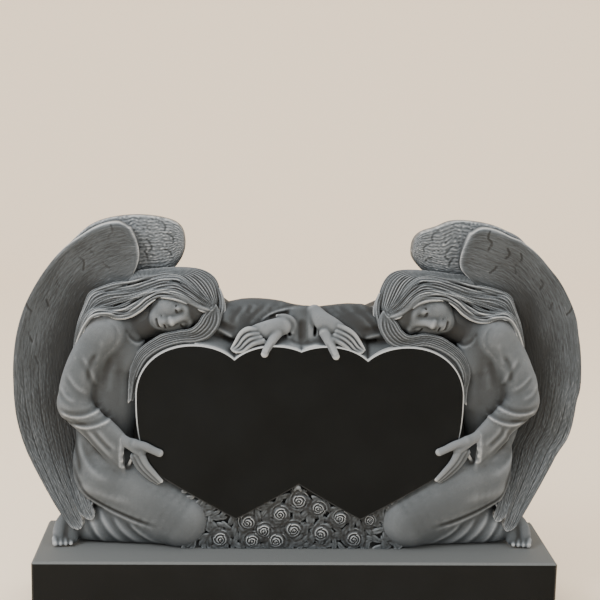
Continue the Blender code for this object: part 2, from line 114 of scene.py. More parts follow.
class Clay:
    # a block of voxels that forms are added to and cut from
    far = 60.0

    def __init__(self, low, high, cell):
        self.cell = cell * coarse
        self.low = np.array(low, float) - 2 * self.cell
        count = np.ceil((np.array(high) - self.low) / self.cell).astype(int) + 3
        self.axes = [self.low[i] + self.cell * np.arange(count[i]) for i in range(3)]
        self.field = np.full(count, self.far, np.float32)
        self.tone = np.full(count, 0.5, np.float32)

    def window(self, low, high):
        # the voxels between two corners, and their places along each axis
        spans = []
        for i in range(3):
            start = int(np.clip((low[i] - self.low[i]) // self.cell, 0, self.field.shape[i]))
            stop = int(np.clip((high[i] - self.low[i]) // self.cell + 2, 0, self.field.shape[i]))
            spans.append(slice(start, stop))
        return tuple(spans), np.ix_(*(self.axes[i][span].astype(np.float32) for i, span in enumerate(spans)))

    def merge(self, box, dist, soft, tone, cut):
        old = self.field[box]
        if old.size == 0:
            return
        if cut:
            new = np.maximum(old, -dist)
            if soft:
                new += np.maximum(soft - np.abs(old + dist), 0) ** 2 / (4 * soft)
            touched = -dist > old
        else:
            new = np.minimum(old, dist)
            if soft:
                new -= np.maximum(soft - np.abs(old - dist), 0) ** 2 / (4 * soft)
            touched = dist < old
        self.tone[box][touched] = tone
        self.field[box] = new

    def stroke(self, knots, soft=0.0, tone=0.5, cut=False, strand=None, flat=1.0):
        # a round stroke of changing thickness; strand is the width and depth of lines along it,
        # flat is the share of its thickness that is left in depth
        path = smoothPath(knots)
        path[:, 3] = np.maximum(path[:, 3], 0.5)
        reach = path[:, 3].max() + soft + 3 * self.cell
        box, _ = self.window(path[:, :3].min(0) - reach, path[:, :3].max(0) + reach)
        dist = np.full([s.stop - s.start for s in box], self.far, np.float32)
        for a, b in zip(path[:-1], path[1:]):
            reach = max(a[3], b[3]) + soft + 3 * self.cell
            part, (x, y, z) = self.window(np.minimum(a, b)[:3] - reach, np.maximum(a, b)[:3] + reach)
            inner = tuple(slice(p.start - s.start, p.stop - s.start) for p, s in zip(part, box))
            run = (b - a)[:3]
            length = max(run @ run, 1e-6)
            x, y, z = x - a[0], y - a[1], z - a[2]
            t = np.clip((x * run[0] + y * run[1] + z * run[2]) / length, 0, 1)
            x, y, z = x - t * run[0], (y - t * run[1]) / flat, z - t * run[2]
            near = np.sqrt(x * x + y * y + z * z) - (a[3] + t * (b[3] - a[3]))
            if strand:
                aside = (x * run[2] - z * run[0]) / math.sqrt(length) - 0.7 * y  # the top has lines too
                near = near - strand[1] * np.cos(aside * (math.tau / strand[0]))
            dist[inner] = np.minimum(dist[inner], near)
        self.merge(box, dist, soft, tone, cut)

    def fan(self, first, last, count, bulge=0.0, **form):
        # strokes side by side, from the first line of knots to the last; the middle ones stand forward
        first, last = np.array(first, float), np.array(last, float)
        for index in range(count):
            share = index / max(count - 1, 1)
            line = mix(first, last, share)
            line[:, 1] -= bulge * math.sin(math.pi * share)
            self.stroke(line, **form)

    def ball(self, centre, radii, soft=0.0, tone=0.5, cut=False, turn=None):
        # an ellipsoid; the rows of turn are its own axes
        radii = np.array(radii, float) * np.ones(3)
        reach = radii.max() + soft + 2 * self.cell
        centre = np.array(centre, float)
        box, (x, y, z) = self.window(centre - reach, centre + reach)
        x, y, z = x - centre[0], y - centre[1], z - centre[2]
        if turn is not None:
            x, y, z = (turn[i][0] * x + turn[i][1] * y + turn[i][2] * z for i in range(3))
        inner = np.sqrt((x / radii[0]) ** 2 + (y / radii[1]) ** 2 + (z / radii[2]) ** 2)
        slope = np.sqrt((x / radii[0] ** 2) ** 2 + (y / radii[1] ** 2) ** 2 + (z / radii[2] ** 2) ** 2)
        dist = inner * (inner - 1) / np.maximum(slope, 1e-6)
        self.merge(box, dist.astype(np.float32), soft, tone, cut)

    def plate(self, outline, front, back, tone=0.5, edge=4.0):
        # a flat piece with this outline of x and z; front may be a function of them
        x, z = self.axes[0][:, None], self.axes[2][None, :]
        rim = outlineDistance(outline, x, z)[:, None, :]
        y = self.axes[1][None, :, None]
        front = front(x, z)[:, None, :] if callable(front) else front
        face = np.maximum(front - y, y - back)
        dist = np.maximum(rim, face) + np.maximum(edge - np.abs(rim - face), 0) ** 2 / (4 * edge)
        whole = (slice(None),) * 3
        self.merge(whole, dist.astype(np.float32), 0, tone, False)

    def emboss(self, path, width, height, tone=0.0, ends=0.25):
        # raises the surface along a path of x and z, whatever its depth, or sinks it below zero; its tone is
        # painted along the path, a painted highlight on raised lines and painted shade in sunk ones
        path = smoothPath(path, 8)
        low, high = path.min(0) - 2.5 * width, path.max(0) + 2.5 * width
        box, (x, _, z) = self.window((low[0], -gridDepth, low[1]), (high[0], gridDepth, high[1]))
        nearest = np.full(np.broadcast(x, z).shape, 1e9, np.float32)
        gone = np.zeros_like(nearest)
        for index, (a, b) in enumerate(zip(path[:-1], path[1:])):
            run = b - a
            t = np.clip(((x - a[0]) * run[0] + (z - a[1]) * run[1]) / max(run @ run, 1e-6), 0, 1)
            away = (x - a[0] - t * run[0]) ** 2 + (z - a[1] - t * run[1]) ** 2
            gone = np.where(away < nearest, (index + t) / (len(path) - 1), gone)
            nearest = np.minimum(nearest, away)
        fade = smoothstep(0, ends, gone) * smoothstep(0, ends, 1 - gone) if ends else 1.0
        shape = (np.exp(-nearest / (width * width)) * fade).astype(np.float32)
        self.field[box] -= height * shape
        self.tone[box] += tone * shape

    def soften(self, passes=3):
        # spreads each form's tone a little into its neighbours
        for _ in range(passes):
            for axis in range(3):
                ahead, behind = np.roll(self.tone, 1, axis), np.roll(self.tone, -1, axis)
                self.tone = (0.5 * self.tone + 0.25 * (ahead + behind)).astype(np.float32)

    def trim(self, low, high):
        # keeps what lies inside a box
        for i, axis in enumerate(np.ix_(*self.axes)):
            self.field = np.maximum(self.field, np.maximum(low[i] - axis, axis - high[i]))

    def sample(self, grid, points):
        index = (points - self.low) / self.cell
        whole = np.clip(index.astype(int), 0, np.array(grid.shape) - 2)
        part = index - whole
        total = 0
        for corner in np.ndindex(2, 2, 2):
            weight = np.prod(np.where(corner, part, 1 - part), axis=1)
            at = whole + corner
            total = total + weight * grid[at[:, 0], at[:, 1], at[:, 2]]
        return total

    def blurred(self, passes):
        # the field averaged with its surroundings: above nought on ridges, below it in hollows
        near = np.clip(self.field, -8 * self.cell, 8 * self.cell)
        for _ in range(passes):
            for axis in range(3):
                near = 0.5 * near + 0.25 * (np.roll(near, 1, axis) + np.roll(near, -1, axis))
        return near

    def toObject(self, name, side=left, adapt=0.0):
        self.field[[0, -1]] = self.field[:, [0, -1]] = self.field[:, :, [0, -1]] = self.cell
        grid = openvdb.FloatGrid(self.far)
        grid.copyFromArray(np.ascontiguousarray(self.field, np.float32))
        points, tris, quads = grid.convertToPolygons(isovalue=0.0, adaptivity=adapt)
        points = points * self.cell + self.low
        tones = self.sample(self.tone, points)
        for passes, gain in ((3, 0.11), (12, 0.05)):  # a painted highlight on ridges and painted shade in hollows
            tones = tones + np.clip(gain * self.sample(self.blurred(passes), points), -0.3, 0.25)
        faces = [tuple(f) for f in tris.tolist()] + [tuple(f) for f in quads.tolist()]
        meshObject(name, toStone(points, side), faces, tones, flip=side == right)


def outlineDistance(outline, x, z):
    # distance to a closed outline, negative inside it
    outline = np.array(outline, float)
    x, z = np.broadcast_arrays(x, z)
    nearest = np.full(x.shape, 1e9)
    inside = np.zeros(x.shape, bool)
    for (ax, az), (bx, bz) in zip(outline, np.roll(outline, -1, axis=0)):
        dx, dz = bx - ax, bz - az
        t = np.clip(((x - ax) * dx + (z - az) * dz) / max(dx * dx + dz * dz, 1e-9), 0, 1)
        nearest = np.minimum(nearest, (x - ax - t * dx) ** 2 + (z - az - t * dz) ** 2)
        if az != bz:
            inside ^= ((az > z) != (bz > z)) & (x < ax + (z - az) * dx / dz)
    return np.where(inside, -1, 1) * np.sqrt(nearest)


def meshObject(name, points, faces, tones, flip=False):
    mesh = bpy.data.meshes.new(name)
    if flip:
        faces = [f[::-1] for f in faces]
    mesh.from_pydata(np.asarray(points).tolist(), [], faces)
    layer = mesh.attributes.new("tone", "FLOAT", "POINT")  # how light the frosting is, with painted shade and painted highlights in it
    layer.data.foreach_set("value", np.asarray(tones, np.float32))
    shape = bmesh.new()
    shape.from_mesh(mesh)
    bmesh.ops.recalc_face_normals(shape, faces=shape.faces)
    shape.to_mesh(mesh)
    shape.free()
    mesh.shade_smooth()
    mesh.materials.append(granite)
    piece = bpy.data.objects.new(name, mesh)
    bpy.context.scene.collection.objects.link(piece)
    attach(piece, "root")
    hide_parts("angel_stone")
    print(name, len(mesh.polygons), "faces")


# Colours and shader nodes
def linear(hexColour):  # sRGB hex to linear light
    channels = [int(hexColour[i:i + 2], 16) / 255 for i in (1, 3, 5)]
    return [c / 12.92 if c <= 0.04045 else ((c + 0.055) / 1.055) ** 2.4 for c in channels] + [1.0]


def addNode(tree, kind, settings=None, stops=(), **links):
    # settings go to sockets by name or index, or to the node itself; stops are places and colours of
    # a ramp; links join sockets by name, or by index after an i
    node = tree.nodes.new("ShaderNode" + kind)
    for name, value in (settings or {}).items():
        if isinstance(name, int) or name in node.inputs:
            node.inputs[name].default_value = value
        else:
            setattr(node, name, value)
    if stops:
        elements = node.color_ramp.elements
        while len(elements) < len(stops):
            elements.new(0.5)
        for element, (place, colour) in zip(elements, stops):
            element.position = place
            element.color = linear(colour)
    for name, source in links.items():
        socket = int(name[1:]) if name[1:].isdigit() else name
        tree.links.new(source, node.inputs[socket])
    return node


def newMaterial(name):
    material = bpy.data.materials.new(name)
    material.use_nodes = True
    tree = material.node_tree
    return material, tree, tree.nodes["Principled BSDF"]


def frostedGranite():
    # Black granite, sandblasted: the broken grains turn it grey; sharp edges get a painted highlight and
    # creases painted shade.
    # Widths in millimetres; the grains are drawn a few times as coarse as real ones, so that they show.
    look = {"grain": 1.111, "cloud": 143, "grainBump": 0.25, "bumpHeight": 0.6, "roughness": 0.78,
            "speckle": 0.30, "mottle": 0.24, "edgeShading": 0.30}
    greys = [(0.0, "#0e0f10"), (0.3, "#212528"), (0.55, "#42484d"), (0.8, "#6d7379"), (1.0, "#a3a7aa")]
    material, tree, shader = newMaterial("frostedGranite")
    place = addNode(tree, "TexCoord").outputs["Object"]
    grain = addNode(tree, "TexNoise", {"Scale": 1000 / look["grain"], "Detail": 3.0},
                    Vector=place).outputs["Fac"]
    cloud = addNode(tree, "TexNoise", {"Scale": 1000 / look["cloud"], "Detail": 4.0},
                    Vector=place).outputs["Fac"]
    # the mesh's pointiness paints sharp edges paler as a highlight and creases darker as shade
    edges = addNode(tree, "NewGeometry").outputs["Pointiness"]
    paintedEdgeShading = addNode(tree, "MapRange", {"From Min": 0.42, "From Max": 0.58, "To Min": -look["edgeShading"],
                                      "To Max": look["edgeShading"]}, Value=edges).outputs["Result"]
    total = addNode(tree, "Attribute", {"attribute_name": "tone"}).outputs["Fac"]
    total = addNode(tree, "Math", {"operation": "ADD"}, i0=total, i1=paintedEdgeShading).outputs[0]
    for noise, share in ((grain, look["speckle"]), (cloud, look["mottle"])):
        swing = addNode(tree, "Math", {"operation": "MULTIPLY_ADD", 1: share, 2: -share / 2},
                        i0=noise).outputs[0]
        total = addNode(tree, "Math", {"operation": "ADD"}, i0=total, i1=swing).outputs[0]
    colour = addNode(tree, "ValToRGB", stops=greys, i0=total)
    tree.links.new(colour.outputs["Color"], shader.inputs["Base Color"])
    bump = addNode(tree, "Bump", {"Strength": look["grainBump"], "Distance": look["bumpHeight"] / 1000},
                   Height=grain)
    tree.links.new(bump.outputs["Normal"], shader.inputs["Normal"])
    shader.inputs["Roughness"].default_value = look["roughness"]
    shader.inputs["IOR"].default_value = 1.5
    return material  # soft grey carving with pale ridges and near-black hollows


def polishedGranite(name="polishedGranite", honedTop=False):
    # Black granite polished to a mirror; fine dark feldspar and a few paler flecks show in it.
    # Widths in millimetres, with flecks and honed grains as coarse as they need to show.
    look = {"fleck": 2.38, "drift": 200, "honedGrain": 1.43, "roughness": 0.16, "shine": 0.07,
            "baseShine": 0.119}
    material, tree, shader = newMaterial(name)
    place = addNode(tree, "TexCoord").outputs["Object"]
    fleck = addNode(tree, "TexVoronoi", {"Scale": 1000 / look["fleck"]}, Vector=place).outputs["Distance"]
    drift = addNode(tree, "TexNoise", {"Scale": 1000 / look["drift"], "Detail": 5.0},
                    Vector=place).outputs["Fac"]
    darks = [(0.3, "#0a0d0e"), (0.7, "#121517")]
    colour = addNode(tree, "ValToRGB", stops=darks, i0=drift).outputs["Color"]
    pales = [(0.0, "#2a2c2c"), (0.25, "#0a0b0b")]
    flecks = addNode(tree, "ValToRGB", stops=pales, i0=fleck).outputs["Color"]
    colour = addNode(tree, "Mix", {"data_type": "RGBA", 0: 0.25}, i6=colour, i7=flecks).outputs[2]
    low, high = look["roughness"] - 0.05, look["roughness"] + 0.06
    rough = addNode(tree, "MapRange", {"To Min": low, "To Max": high}, Value=drift).outputs["Result"]
    if honedTop:  # the upper face is only ground smooth, so it is grey and dull
        normal = addNode(tree, "NewGeometry").outputs["True Normal"]
        height = addNode(tree, "SeparateXYZ", i0=normal).outputs["Z"]
        top = addNode(tree, "Math", {"operation": "GREATER_THAN", 1: 0.5}, i0=height).outputs[0]
        grain = addNode(tree, "TexNoise", {"Scale": 1000 / look["honedGrain"], "Detail": 3.0},
                        Vector=place).outputs["Fac"]
        greys = [(0.25, "#4c5052"), (0.75, "#717577")]
        honed = addNode(tree, "ValToRGB", stops=greys, i0=grain).outputs["Color"]
        colour = addNode(tree, "Mix", {"data_type": "RGBA"}, i0=top, i6=colour, i7=honed).outputs[2]
        rough = addNode(tree, "Mix", {3: 0.7}, i0=top, i2=rough).outputs[0]
    tree.links.new(colour, shader.inputs["Base Color"])
    tree.links.new(rough, shader.inputs["Roughness"])
    shader.inputs["Specular IOR Level"].default_value = look["baseShine" if honedTop else "shine"]
    return material  # deep black with a soft reflection


granite = frostedGranite()

# Landmarks of one angel: outwards, depth and height
hip = (548, 15, 200)
waist = (570, 15, 330)
chest = (556, 8, 500)
collar = (525, -5, 640)
shoulder = (566, -66, 645)
elbow = (650, -80, 440)
wrist = (498, -112, 332)
knee = (340, -50, 84)
ankle = (660, -10, 56)


# The figure
figureLook = {"cell": 2.9, "robe": 0.54, "sleeve": 0.52, "neckShade": 0.25}


def makeFigure():
    clay = Clay((255, -135, 0), (735, 60, 720), figureLook["cell"])
    robe, sleeve, neckShade = figureLook["robe"], figureLook["sleeve"], figureLook["neckShade"]
    # the body is painted darker than the robe as shade in the hollow between arm and heart, and the neck
    # darker still as shade under the head
    clay.stroke([(*hip, 88), (*waist, 84), (*chest, 88), (*collar, 72)], 10, 0.4)
    clay.stroke([(*collar, 58), (470, -12, 668, 44), (430, -18, 690, 42)], 14, neckShade)
    clay.ball((498, -34, 580), (54, 46, 62), 22, 0.44)
    clay.ball((520, -8, 450), (48, 56, 130), 22, 0.40)
    # thigh, and the shin folded under it
    clay.stroke([(352, -35, 70, 68), (480, -15, 62, 62), (600, -5, 58, 55), (*ankle, 42)], 8, 0.56)
    clay.stroke([(560, -6, 212, 94), (455, -20, 152, 103), (*knee, 84)], 24, robe)
    clay.stroke([(600, -20, 320, 40), (610, -24, 250, 44), (585, -36, 200, 52)], 40, robe - 0.06)
    makeSleeve(clay, sleeve)
    makeRobeFolds(clay)
    makeFoot(clay)
    clay.soften(4)
    clay.trim((240, -gridBack, 0), (760, 60, 740))
    return clay


def makeRobeFolds(clay):
    # the line between thigh and shin, painted dark as shade, with a lip under it painted pale as a highlight
    crease = [(664, 262), (642, 205), (616, 162), (570, 130), (513, 107), (456, 87), (398, 72)]
    clay.emboss(crease, 7, -4.5, -0.15, ends=0.2)
    clay.emboss(beside(crease, -5, -12), 7, 2, 0.07)
    # long folds that run down from the hip over the thigh, and one that droops from the elbow
    clay.emboss([(640, 330), (632, 290), (608, 248), (575, 222), (535, 205)], 9, 1.6, 0.05)
    clay.emboss([(628, 330), (620, 296), (598, 258), (560, 232)], 8, -1.2, -0.03)
    clay.emboss([(612, 330), (596, 296), (560, 262), (520, 240)], 8, 2, 0.05)
    clay.emboss([(640, 200), (600, 178), (540, 160), (470, 150)], 14, 2.5, 0.05)
    clay.emboss([(655, 360), (652, 310), (640, 260), (632, 215)], 8, -3, -0.12)
    # the hem folds fan out below the wing's tips
    for top, low, width in (((588, 128), (500, -4), 7), ((545, 108), (446, -4), 7),
                            ((612, 104), (556, -4), 6), ((498, 92), (396, 4), 6)):
        way = [top, (mix(top[0], low[0], 0.25), mix(top[1], low[1], 0.4)),
               (mix(top[0], low[0], 0.6), mix(top[1], low[1], 0.75)), low]
        clay.emboss(way, width + 1, 2.4, 0.09, ends=0.3)
        clay.emboss(beside(way, 14), width + 2, -2.2, -0.07, ends=0.3)
    # faint upright folds in the hollow between arm and heart
    for x, lift in ((502, 0.5), (524, -0.8), (542, 0.7), (558, -0.9), (572, 0.5)):
        clay.emboss([(x - 16, 600), (x - 4, 540), (x + 6, 470), (x + 2, 400)], 8, lift, 0.03 * lift)
    clay.emboss([(606, 500), (600, 560), (578, 600)], 8, -3, -0.10)
    # the neckline
    neckline = [(500, 656), (487, 628), (462, 614), (432, 630)]
    clay.emboss(neckline, 4, 1.8, 0.09, ends=0.15)
    clay.emboss(beside(neckline, 2, 9), 6, -1.8, -0.05, ends=0.2)


def makeSleeve(clay, tone):
    clay.ball(shoulder, (56, 48, 56), 40, tone)
    clay.stroke([(*shoulder, 52), (612, -72, 570, 50), (640, -76, 500, 48), (*elbow, 47)], 22, tone)
    # the lower sleeve widens into a cuff that hangs below the wrist
    clay.fan([(652, -82, 446, 42), (590, -92, 402, 24), (545, -98, 370, 20), (512, -104, 342, 15)],
             [(652, -80, 412, 30), (608, -80, 350, 16), (554, -84, 284, 11), (508, -90, 234, 7)],
             6, bulge=8, soft=12, tone=tone)
    # hollow mouth of the cuff, painted near-black as shade, with a plain edge
    clay.ball((487, -98, 288), (23, 24, 48), 3, 0.05, cut=True)
    clay.stroke([(512, -106, 346, 6), (512, -102, 312, 6), (510, -97, 274, 6), (507, -92, 232, 5)], 5,
                tone + 0.08)
    clay.stroke([(506, -80, 232, 4), (493, -80, 254, 5), (482, -84, 278, 4)], 3, tone)
    # two soft rings inside the elbow, and slanting folds on the upper arm
    for ring in ([(694, 424), (660, 408), (622, 406), (590, 416), (562, 430)],
                 [(660, 386), (626, 372), (591, 376), (560, 388), (534, 402)]):
        clay.emboss(ring, 5, 2.8, 0.11, ends=0.2)
        clay.emboss(beside(ring, 2, 13), 8, -2.0, -0.06)
    clay.emboss([(690, 400), (650, 384), (600, 388)], 6, -2.5, -0.08)
    for way, lift in (([(628, 600), (606, 560), (590, 520), (584, 490)], 1.3),
                      ([(668, 540), (640, 500), (604, 472)], 1.3),
                      ([(690, 500), (668, 468), (636, 450)], 1.2),
                      ([(560, 640), (572, 600), (584, 560)], 1.0)):
        clay.emboss(way, 6, lift, 0.04 * lift)
        clay.emboss(beside(way, 6, -12), 8, -lift * 0.8, -0.03 * lift)
    for way in ([(630, 372), (590, 318), (545, 268)], [(600, 372), (565, 330), (535, 300)]):
        clay.emboss(way, 7, -2, -0.06)
        clay.emboss(beside(way, -14, 3), 7, 1.5, 0.03)
    # the arm's top and outer side catch the light
    clay.emboss([(520, 700), (566, 702), (610, 690), (650, 620), (690, 520), (705, 440)],
                20, 0, 0.16, ends=0.1)
    clay.emboss([(510, 350), (515, 300), (516, 246)], 4, 1.5, 0.12, ends=0.1)


def makeFoot(clay):
    # the toes are painted darker one by one and the slit beside the foot near-black, as shade; the foot's
    # outer edge has a painted highlight
    clay.stroke([(668, -24, 96, 18), (690, -36, 66, 21), (700, -48, 38, 20), (698, -56, 18, 17)], 8, 0.46)
    clay.stroke([(660, -36, 60, 26), (664, -50, 24, 20)], 10, 0.36)
    for toe in range(4):
        x = 711 - 15 * toe
        clay.stroke([(x, -62, 22 - 2 * toe, 10), (x - 2, -76, 11, 9 - toe)], 4, 0.5 - 0.04 * toe)
    clay.stroke([(646, -70, 84, 4), (640, -80, 40, 6), (636, -84, 0, 6)], 4, 0.05, cut=True)
    clay.emboss([(716, 90), (720, 50), (716, 14)], 7, 0, 0.2)


# Head and hair
headLook = {"cell": 2.1, "skin": 0.56, "hair": 0.47, "lock": (8.0, 1.5), "locks": 10, "strays": 26,
            "browShade": 0.16}
headUp = np.array((-0.957, 0.0, 0.29))
headAhead = np.array((0.08, -0.92, -0.38))
headAhead = headAhead - headUp * (headAhead @ headUp)
headAhead /= np.linalg.norm(headAhead)
headAside = np.cross(headAhead, headUp)
headAside *= np.sign(headAside[2])  # towards the face's upper side
headMiddle = np.array((346, -36, 716))


def onHead(high, aside, ahead, *radius):  # a point in the head's own directions
    return (*(headMiddle + headUp * high + headAside * aside + headAhead * ahead), *radius)


def makeFace(clay):
    skin = headLook["skin"]
    turn = np.array([headUp, headAside, headAhead])
    # the skull under the hair is painted dark as shade, and the forehead a little darker than the face as
    # shade
    clay.ball(onHead(14, 0, -16), (62, 58, 60), 0, 0.3, turn=turn)
    clay.ball(onHead(-20, 0, 0), (68, 60, 60), 10, skin, turn=turn)
    clay.ball(onHead(-62, 0, 28), (25, 27, 22), 24, skin, turn=turn)
    clay.ball(onHead(38, 0, 14), (44, 52, 44), 18, skin - 0.14, turn=turn)
    for side in (-1, 1):
        clay.ball(onHead(-28, 30 * side, 26), (28, 24, 26), 16, skin)
        # a shallow socket with a closed, rounded lid in it; the socket and the lid's creases are painted
        # darker as shade
        clay.ball(onHead(4, 24 * side, 74), (14, 21, 19), 14, skin - 0.12, cut=True)
        clay.ball(onHead(0, 25 * side, 40.5), (12, 19, 9), 12, skin - 0.04)
        clay.stroke([onHead(-5, 14 * side, 52.5, 1.2), onHead(-8, 24 * side, 55, 2.0),
                     onHead(-3, 38 * side, 49, 1.5)], 3, skin - 0.45, cut=True)
        clay.stroke([onHead(9, 16 * side, 54, 1.0), onHead(9, 24 * side, 54, 1.4),
                     onHead(4, 38 * side, 49, 1.0)], 4, skin - 0.3, cut=True)
        clay.stroke([onHead(16, 7 * side, 56, 5), onHead(20, 22 * side, 55, 5),
                     onHead(12, 42 * side, 42, 4)], 14, skin)
        # the nostrils' pits are painted dark as shade
        clay.ball(onHead(-31, 9 * side, 61), (7, 7, 7), 7, skin)
        clay.ball(onHead(-37, 5.5 * side, 66), (2.2, 2.8, 3), 3, skin - 0.3, cut=True)
    # the nose's ridge is painted paler as a highlight, the lips a little paler as a highlight, and the
    # mouth's line and the hollow under the lip darker as shade
    clay.stroke([onHead(18, 0, 51, 9), onHead(0, 0, 55, 8), onHead(-16, 0, 61, 8.5), onHead(-28, 0, 66, 9)],
                12, skin + 0.12)
    clay.ball(onHead(-52, 0, 44), (17, 24, 14), 12, skin)
    clay.stroke([onHead(-47, -19, 51, 3), onHead(-45, -6, 58, 5.5), onHead(-47, 0, 58, 5),
                 onHead(-45, 6, 58, 5.5), onHead(-47, 19, 51, 3)], 5, skin + 0.06)
    clay.stroke([onHead(-57, -16, 50, 3), onHead(-60, 0, 56, 7.5), onHead(-57, 16, 50, 3)], 5, skin + 0.06)
    clay.stroke([onHead(-52, -21, 51, 1.8), onHead(-52, 0, 62, 2.2), onHead(-52, 21, 51, 1.8)], 2,
                skin - 0.45, cut=True)
    clay.stroke([onHead(-70, -12, 50, 3), onHead(-71, 0, 54, 4), onHead(-70, 12, 50, 3)], 6, skin - 0.15,
                cut=True)
    # the brow and the lower side lie in the shade of the hair
    x, z = clay.axes[0][:, None, None], clay.axes[2][None, None, :]
    high = (x - headMiddle[0]) * headUp[0] + (z - headMiddle[2]) * headUp[2]
    shade = headLook["browShade"] * (smoothstep(2, 40, high) + 0.7 * smoothstep(-10, -50, z - headMiddle[2]))
    clay.tone -= shade.astype(np.float32)


# where the long locks lie: from the hairline over the shoulder, uppermost lock and lowest lock
crown = np.array([(250, -48, 726), (268, -48, 744), (298, -46, 774), (326, -38, 798), (352, -30, 812),
                  (394, -24, 806), (440, -20, 796), (486, -20, 787), (532, -20, 783), (574, -22, 772),
                  (602, -22, 750), (618, -24, 714), (634, -26, 678), (645, -28, 636),
                  (652, -28, 596)], float)
fringe = np.array([(256, -78, 716), (280, -88, 722), (308, -94, 736), (338, -94, 750), (372, -90, 758),
                   (406, -84, 757), (436, -78, 740), (462, -72, 718), (492, -74, 700), (522, -84, 696),
                   (552, -104, 704), (580, -112, 706), (602, -108, 692), (624, -92, 654),
                   (644, -70, 608)], float)


def makeCap(clay):
    # from where the hair is gathered, over the crown and back along the top, to under the wing
    lock = headLook["lock"]
    cap = [(246, -34, 728, 7), (242, -18, 750, 9), (245, -6, 780, 10), (260, 4, 802, 10), (290, 10, 817, 10),
           (336, 12, 822, 10), (385, 12, 820, 10), (440, 8, 815, 9), (482, 22, 810, 6), (520, 50, 800, 3)]
    brow = [(256, -60, 724, 7), (272, -56, 742, 8), (298, -50, 768, 9), (322, -40, 792, 9),
            (348, -30, 808, 9), (386, -24, 812, 9), (424, -20, 804, 9), (464, -12, 796, 7),
            (498, 14, 786, 5), (526, 48, 774, 3)]
    clay.fan(cap, brow, 8, bulge=9, soft=1, tone=headLook["hair"], strand=(lock[0] * 1.25, lock[1] * 1.2))


def makeLocks(clay, rng):
    # the long locks that wave over the shoulder
    hair, lock, count = headLook["hair"], headLook["lock"], headLook["locks"]
    width = np.array([7, 8, 8, 9, 9, 9, 9, 9, 9, 9, 9, 9, 8, 7, 4])
    swell = np.array([2, 8, 14, 18, 16, 12, 8, 4, 2, 2, 2, 2, 2, 2, 0])
    calm = 5  # knots over the head, where the hair lies without waves
    beyond = np.arange(len(crown) - calm)
    for index in range(count):
        share = index / (count - 1)
        line = mix(crown, fringe, share)
        line[:, 1] -= swell * math.sin(math.pi * share)
        line[calm:, 2] += 4.5 * np.sin(beyond * 1.25 + index * 0.9) * (0.4 if index == count - 1 else 1)
        line[calm:, 1] += 4.0 * np.cos(beyond * 1.1 + index * 1.7)
        radius = width * rng.uniform(0.55, 1.0, len(width))
        clay.stroke(np.column_stack([line, radius]), 1.2, hair + rng.uniform(-0.12, 0.10),
                    strand=(lock[0] * rng.uniform(0.8, 1.3), lock[1]))


def makeTress(clay):
    # a tress falls past the crown and lies along the heart, behind its rim
    hair, lock = headLook["hair"], headLook["lock"]
    clay.fan([(246, -56, 726, 7), (238, -66, 704, 9), (238, -76, 684, 9), (248, -84, 664, 9),
              (268, -88, 644, 9), (302, -92, 633, 8), (336, -92, 631, 8), (368, -92, 624, 8),
              (402, -90, 610, 8), (430, -88, 592, 7), (452, -86, 568, 7), (474, -82, 520, 5),
              (486, -74, 450, 1)],
             [(256, -76, 720, 7), (272, -84, 700, 8), (284, -90, 680, 8), (300, -92, 664, 8),
              (318, -88, 656, 7), (342, -84, 652, 7), (368, -80, 646, 7), (396, -78, 638, 7),
              (424, -74, 620, 7), (450, -72, 600, 7), (470, -74, 574, 6), (486, -76, 524, 5),
              (494, -70, 440, 1)],
             5, soft=1.2, tone=hair - 0.10, strand=lock)
    clay.stroke([(400, -70, 602, 15), (438, -70, 562, 15), (468, -66, 512, 13), (484, -58, 450, 7)], 4,
                hair - 0.1)
    # two locks round the back of the crown
    clay.stroke([(236, -16, 772, 6), (228, -24, 750, 7), (226, -34, 722, 8), (233, -46, 694, 8),
                 (244, -56, 668, 8)], 2, hair - 0.06, strand=lock)
    clay.stroke([(232, -20, 762, 5), (224, -26, 740, 6), (220, -34, 716, 6), (226, -44, 694, 5)], 2, hair,
                strand=lock)


def makeStrayLocks(clay, rng):
    # stray locks cross the others, so that they don't run in even lines
    for index in range(headLook["strays"]):
        share = rng.uniform(0.03, 0.97)
        shares = np.clip(share + np.linspace(0, rng.uniform(-0.25, 0.25), len(crown)), 0, 1)
        line = mix(crown, fringe, shares[:, None])
        start = rng.integers(1, 8)
        stop = start + rng.integers(4, 7)
        way = [(x, z + 3 * math.sin(0.9 * x / 20 + index)) for x, _, z in line[start:stop]]
        lift = rng.choice([-2.2, -1.6, 1.4])
        clay.emboss(way, rng.uniform(2.2, 3.6), lift, 0.07 * lift, ends=0.35)
    # single partings between the locks, painted dark as shade
    for way in ([(256, 730), (286, 752), (328, 790), (352, 806)],
                [(262, 728), (296, 744), (336, 772), (372, 792)],
                [(252, 734), (264, 762), (294, 800), (320, 816)]):
        clay.emboss(way, 3, -2.0, -0.2, ends=0.2)


def makeHead():
    clay = Clay((208, -135, 440), (672, 50, 842), headLook["cell"])
    # neck, and the mass under the hair, both painted dark as shade
    clay.stroke([(372, -22, 694, 44), (420, -16, 680, 46), (470, -10, 660, 46)], 0, 0.22)
    clay.stroke([(420, 20, 760, 40), (500, 25, 740, 40), (560, 20, 700, 44)], 20, 0.25)
    clay.stroke([(244, 4, 742, 15), (268, 12, 770, 26), (320, 18, 786, 26), (400, 18, 784, 27),
                 (470, 20, 778, 26)], 0, 0.2)
    makeFace(clay)
    rng = np.random.default_rng(4)
    makeCap(clay)
    makeLocks(clay, rng)
    makeTress(clay)
    makeStrayLocks(clay, rng)
    clay.soften(2)
    clay.trim((200, -gridBack, 420), (690, 50, 850))
    return clay


# The hand laid on the heart
handLook = {"cell": 2.0, "skin": 0.60, "fingerShade": 0.07}


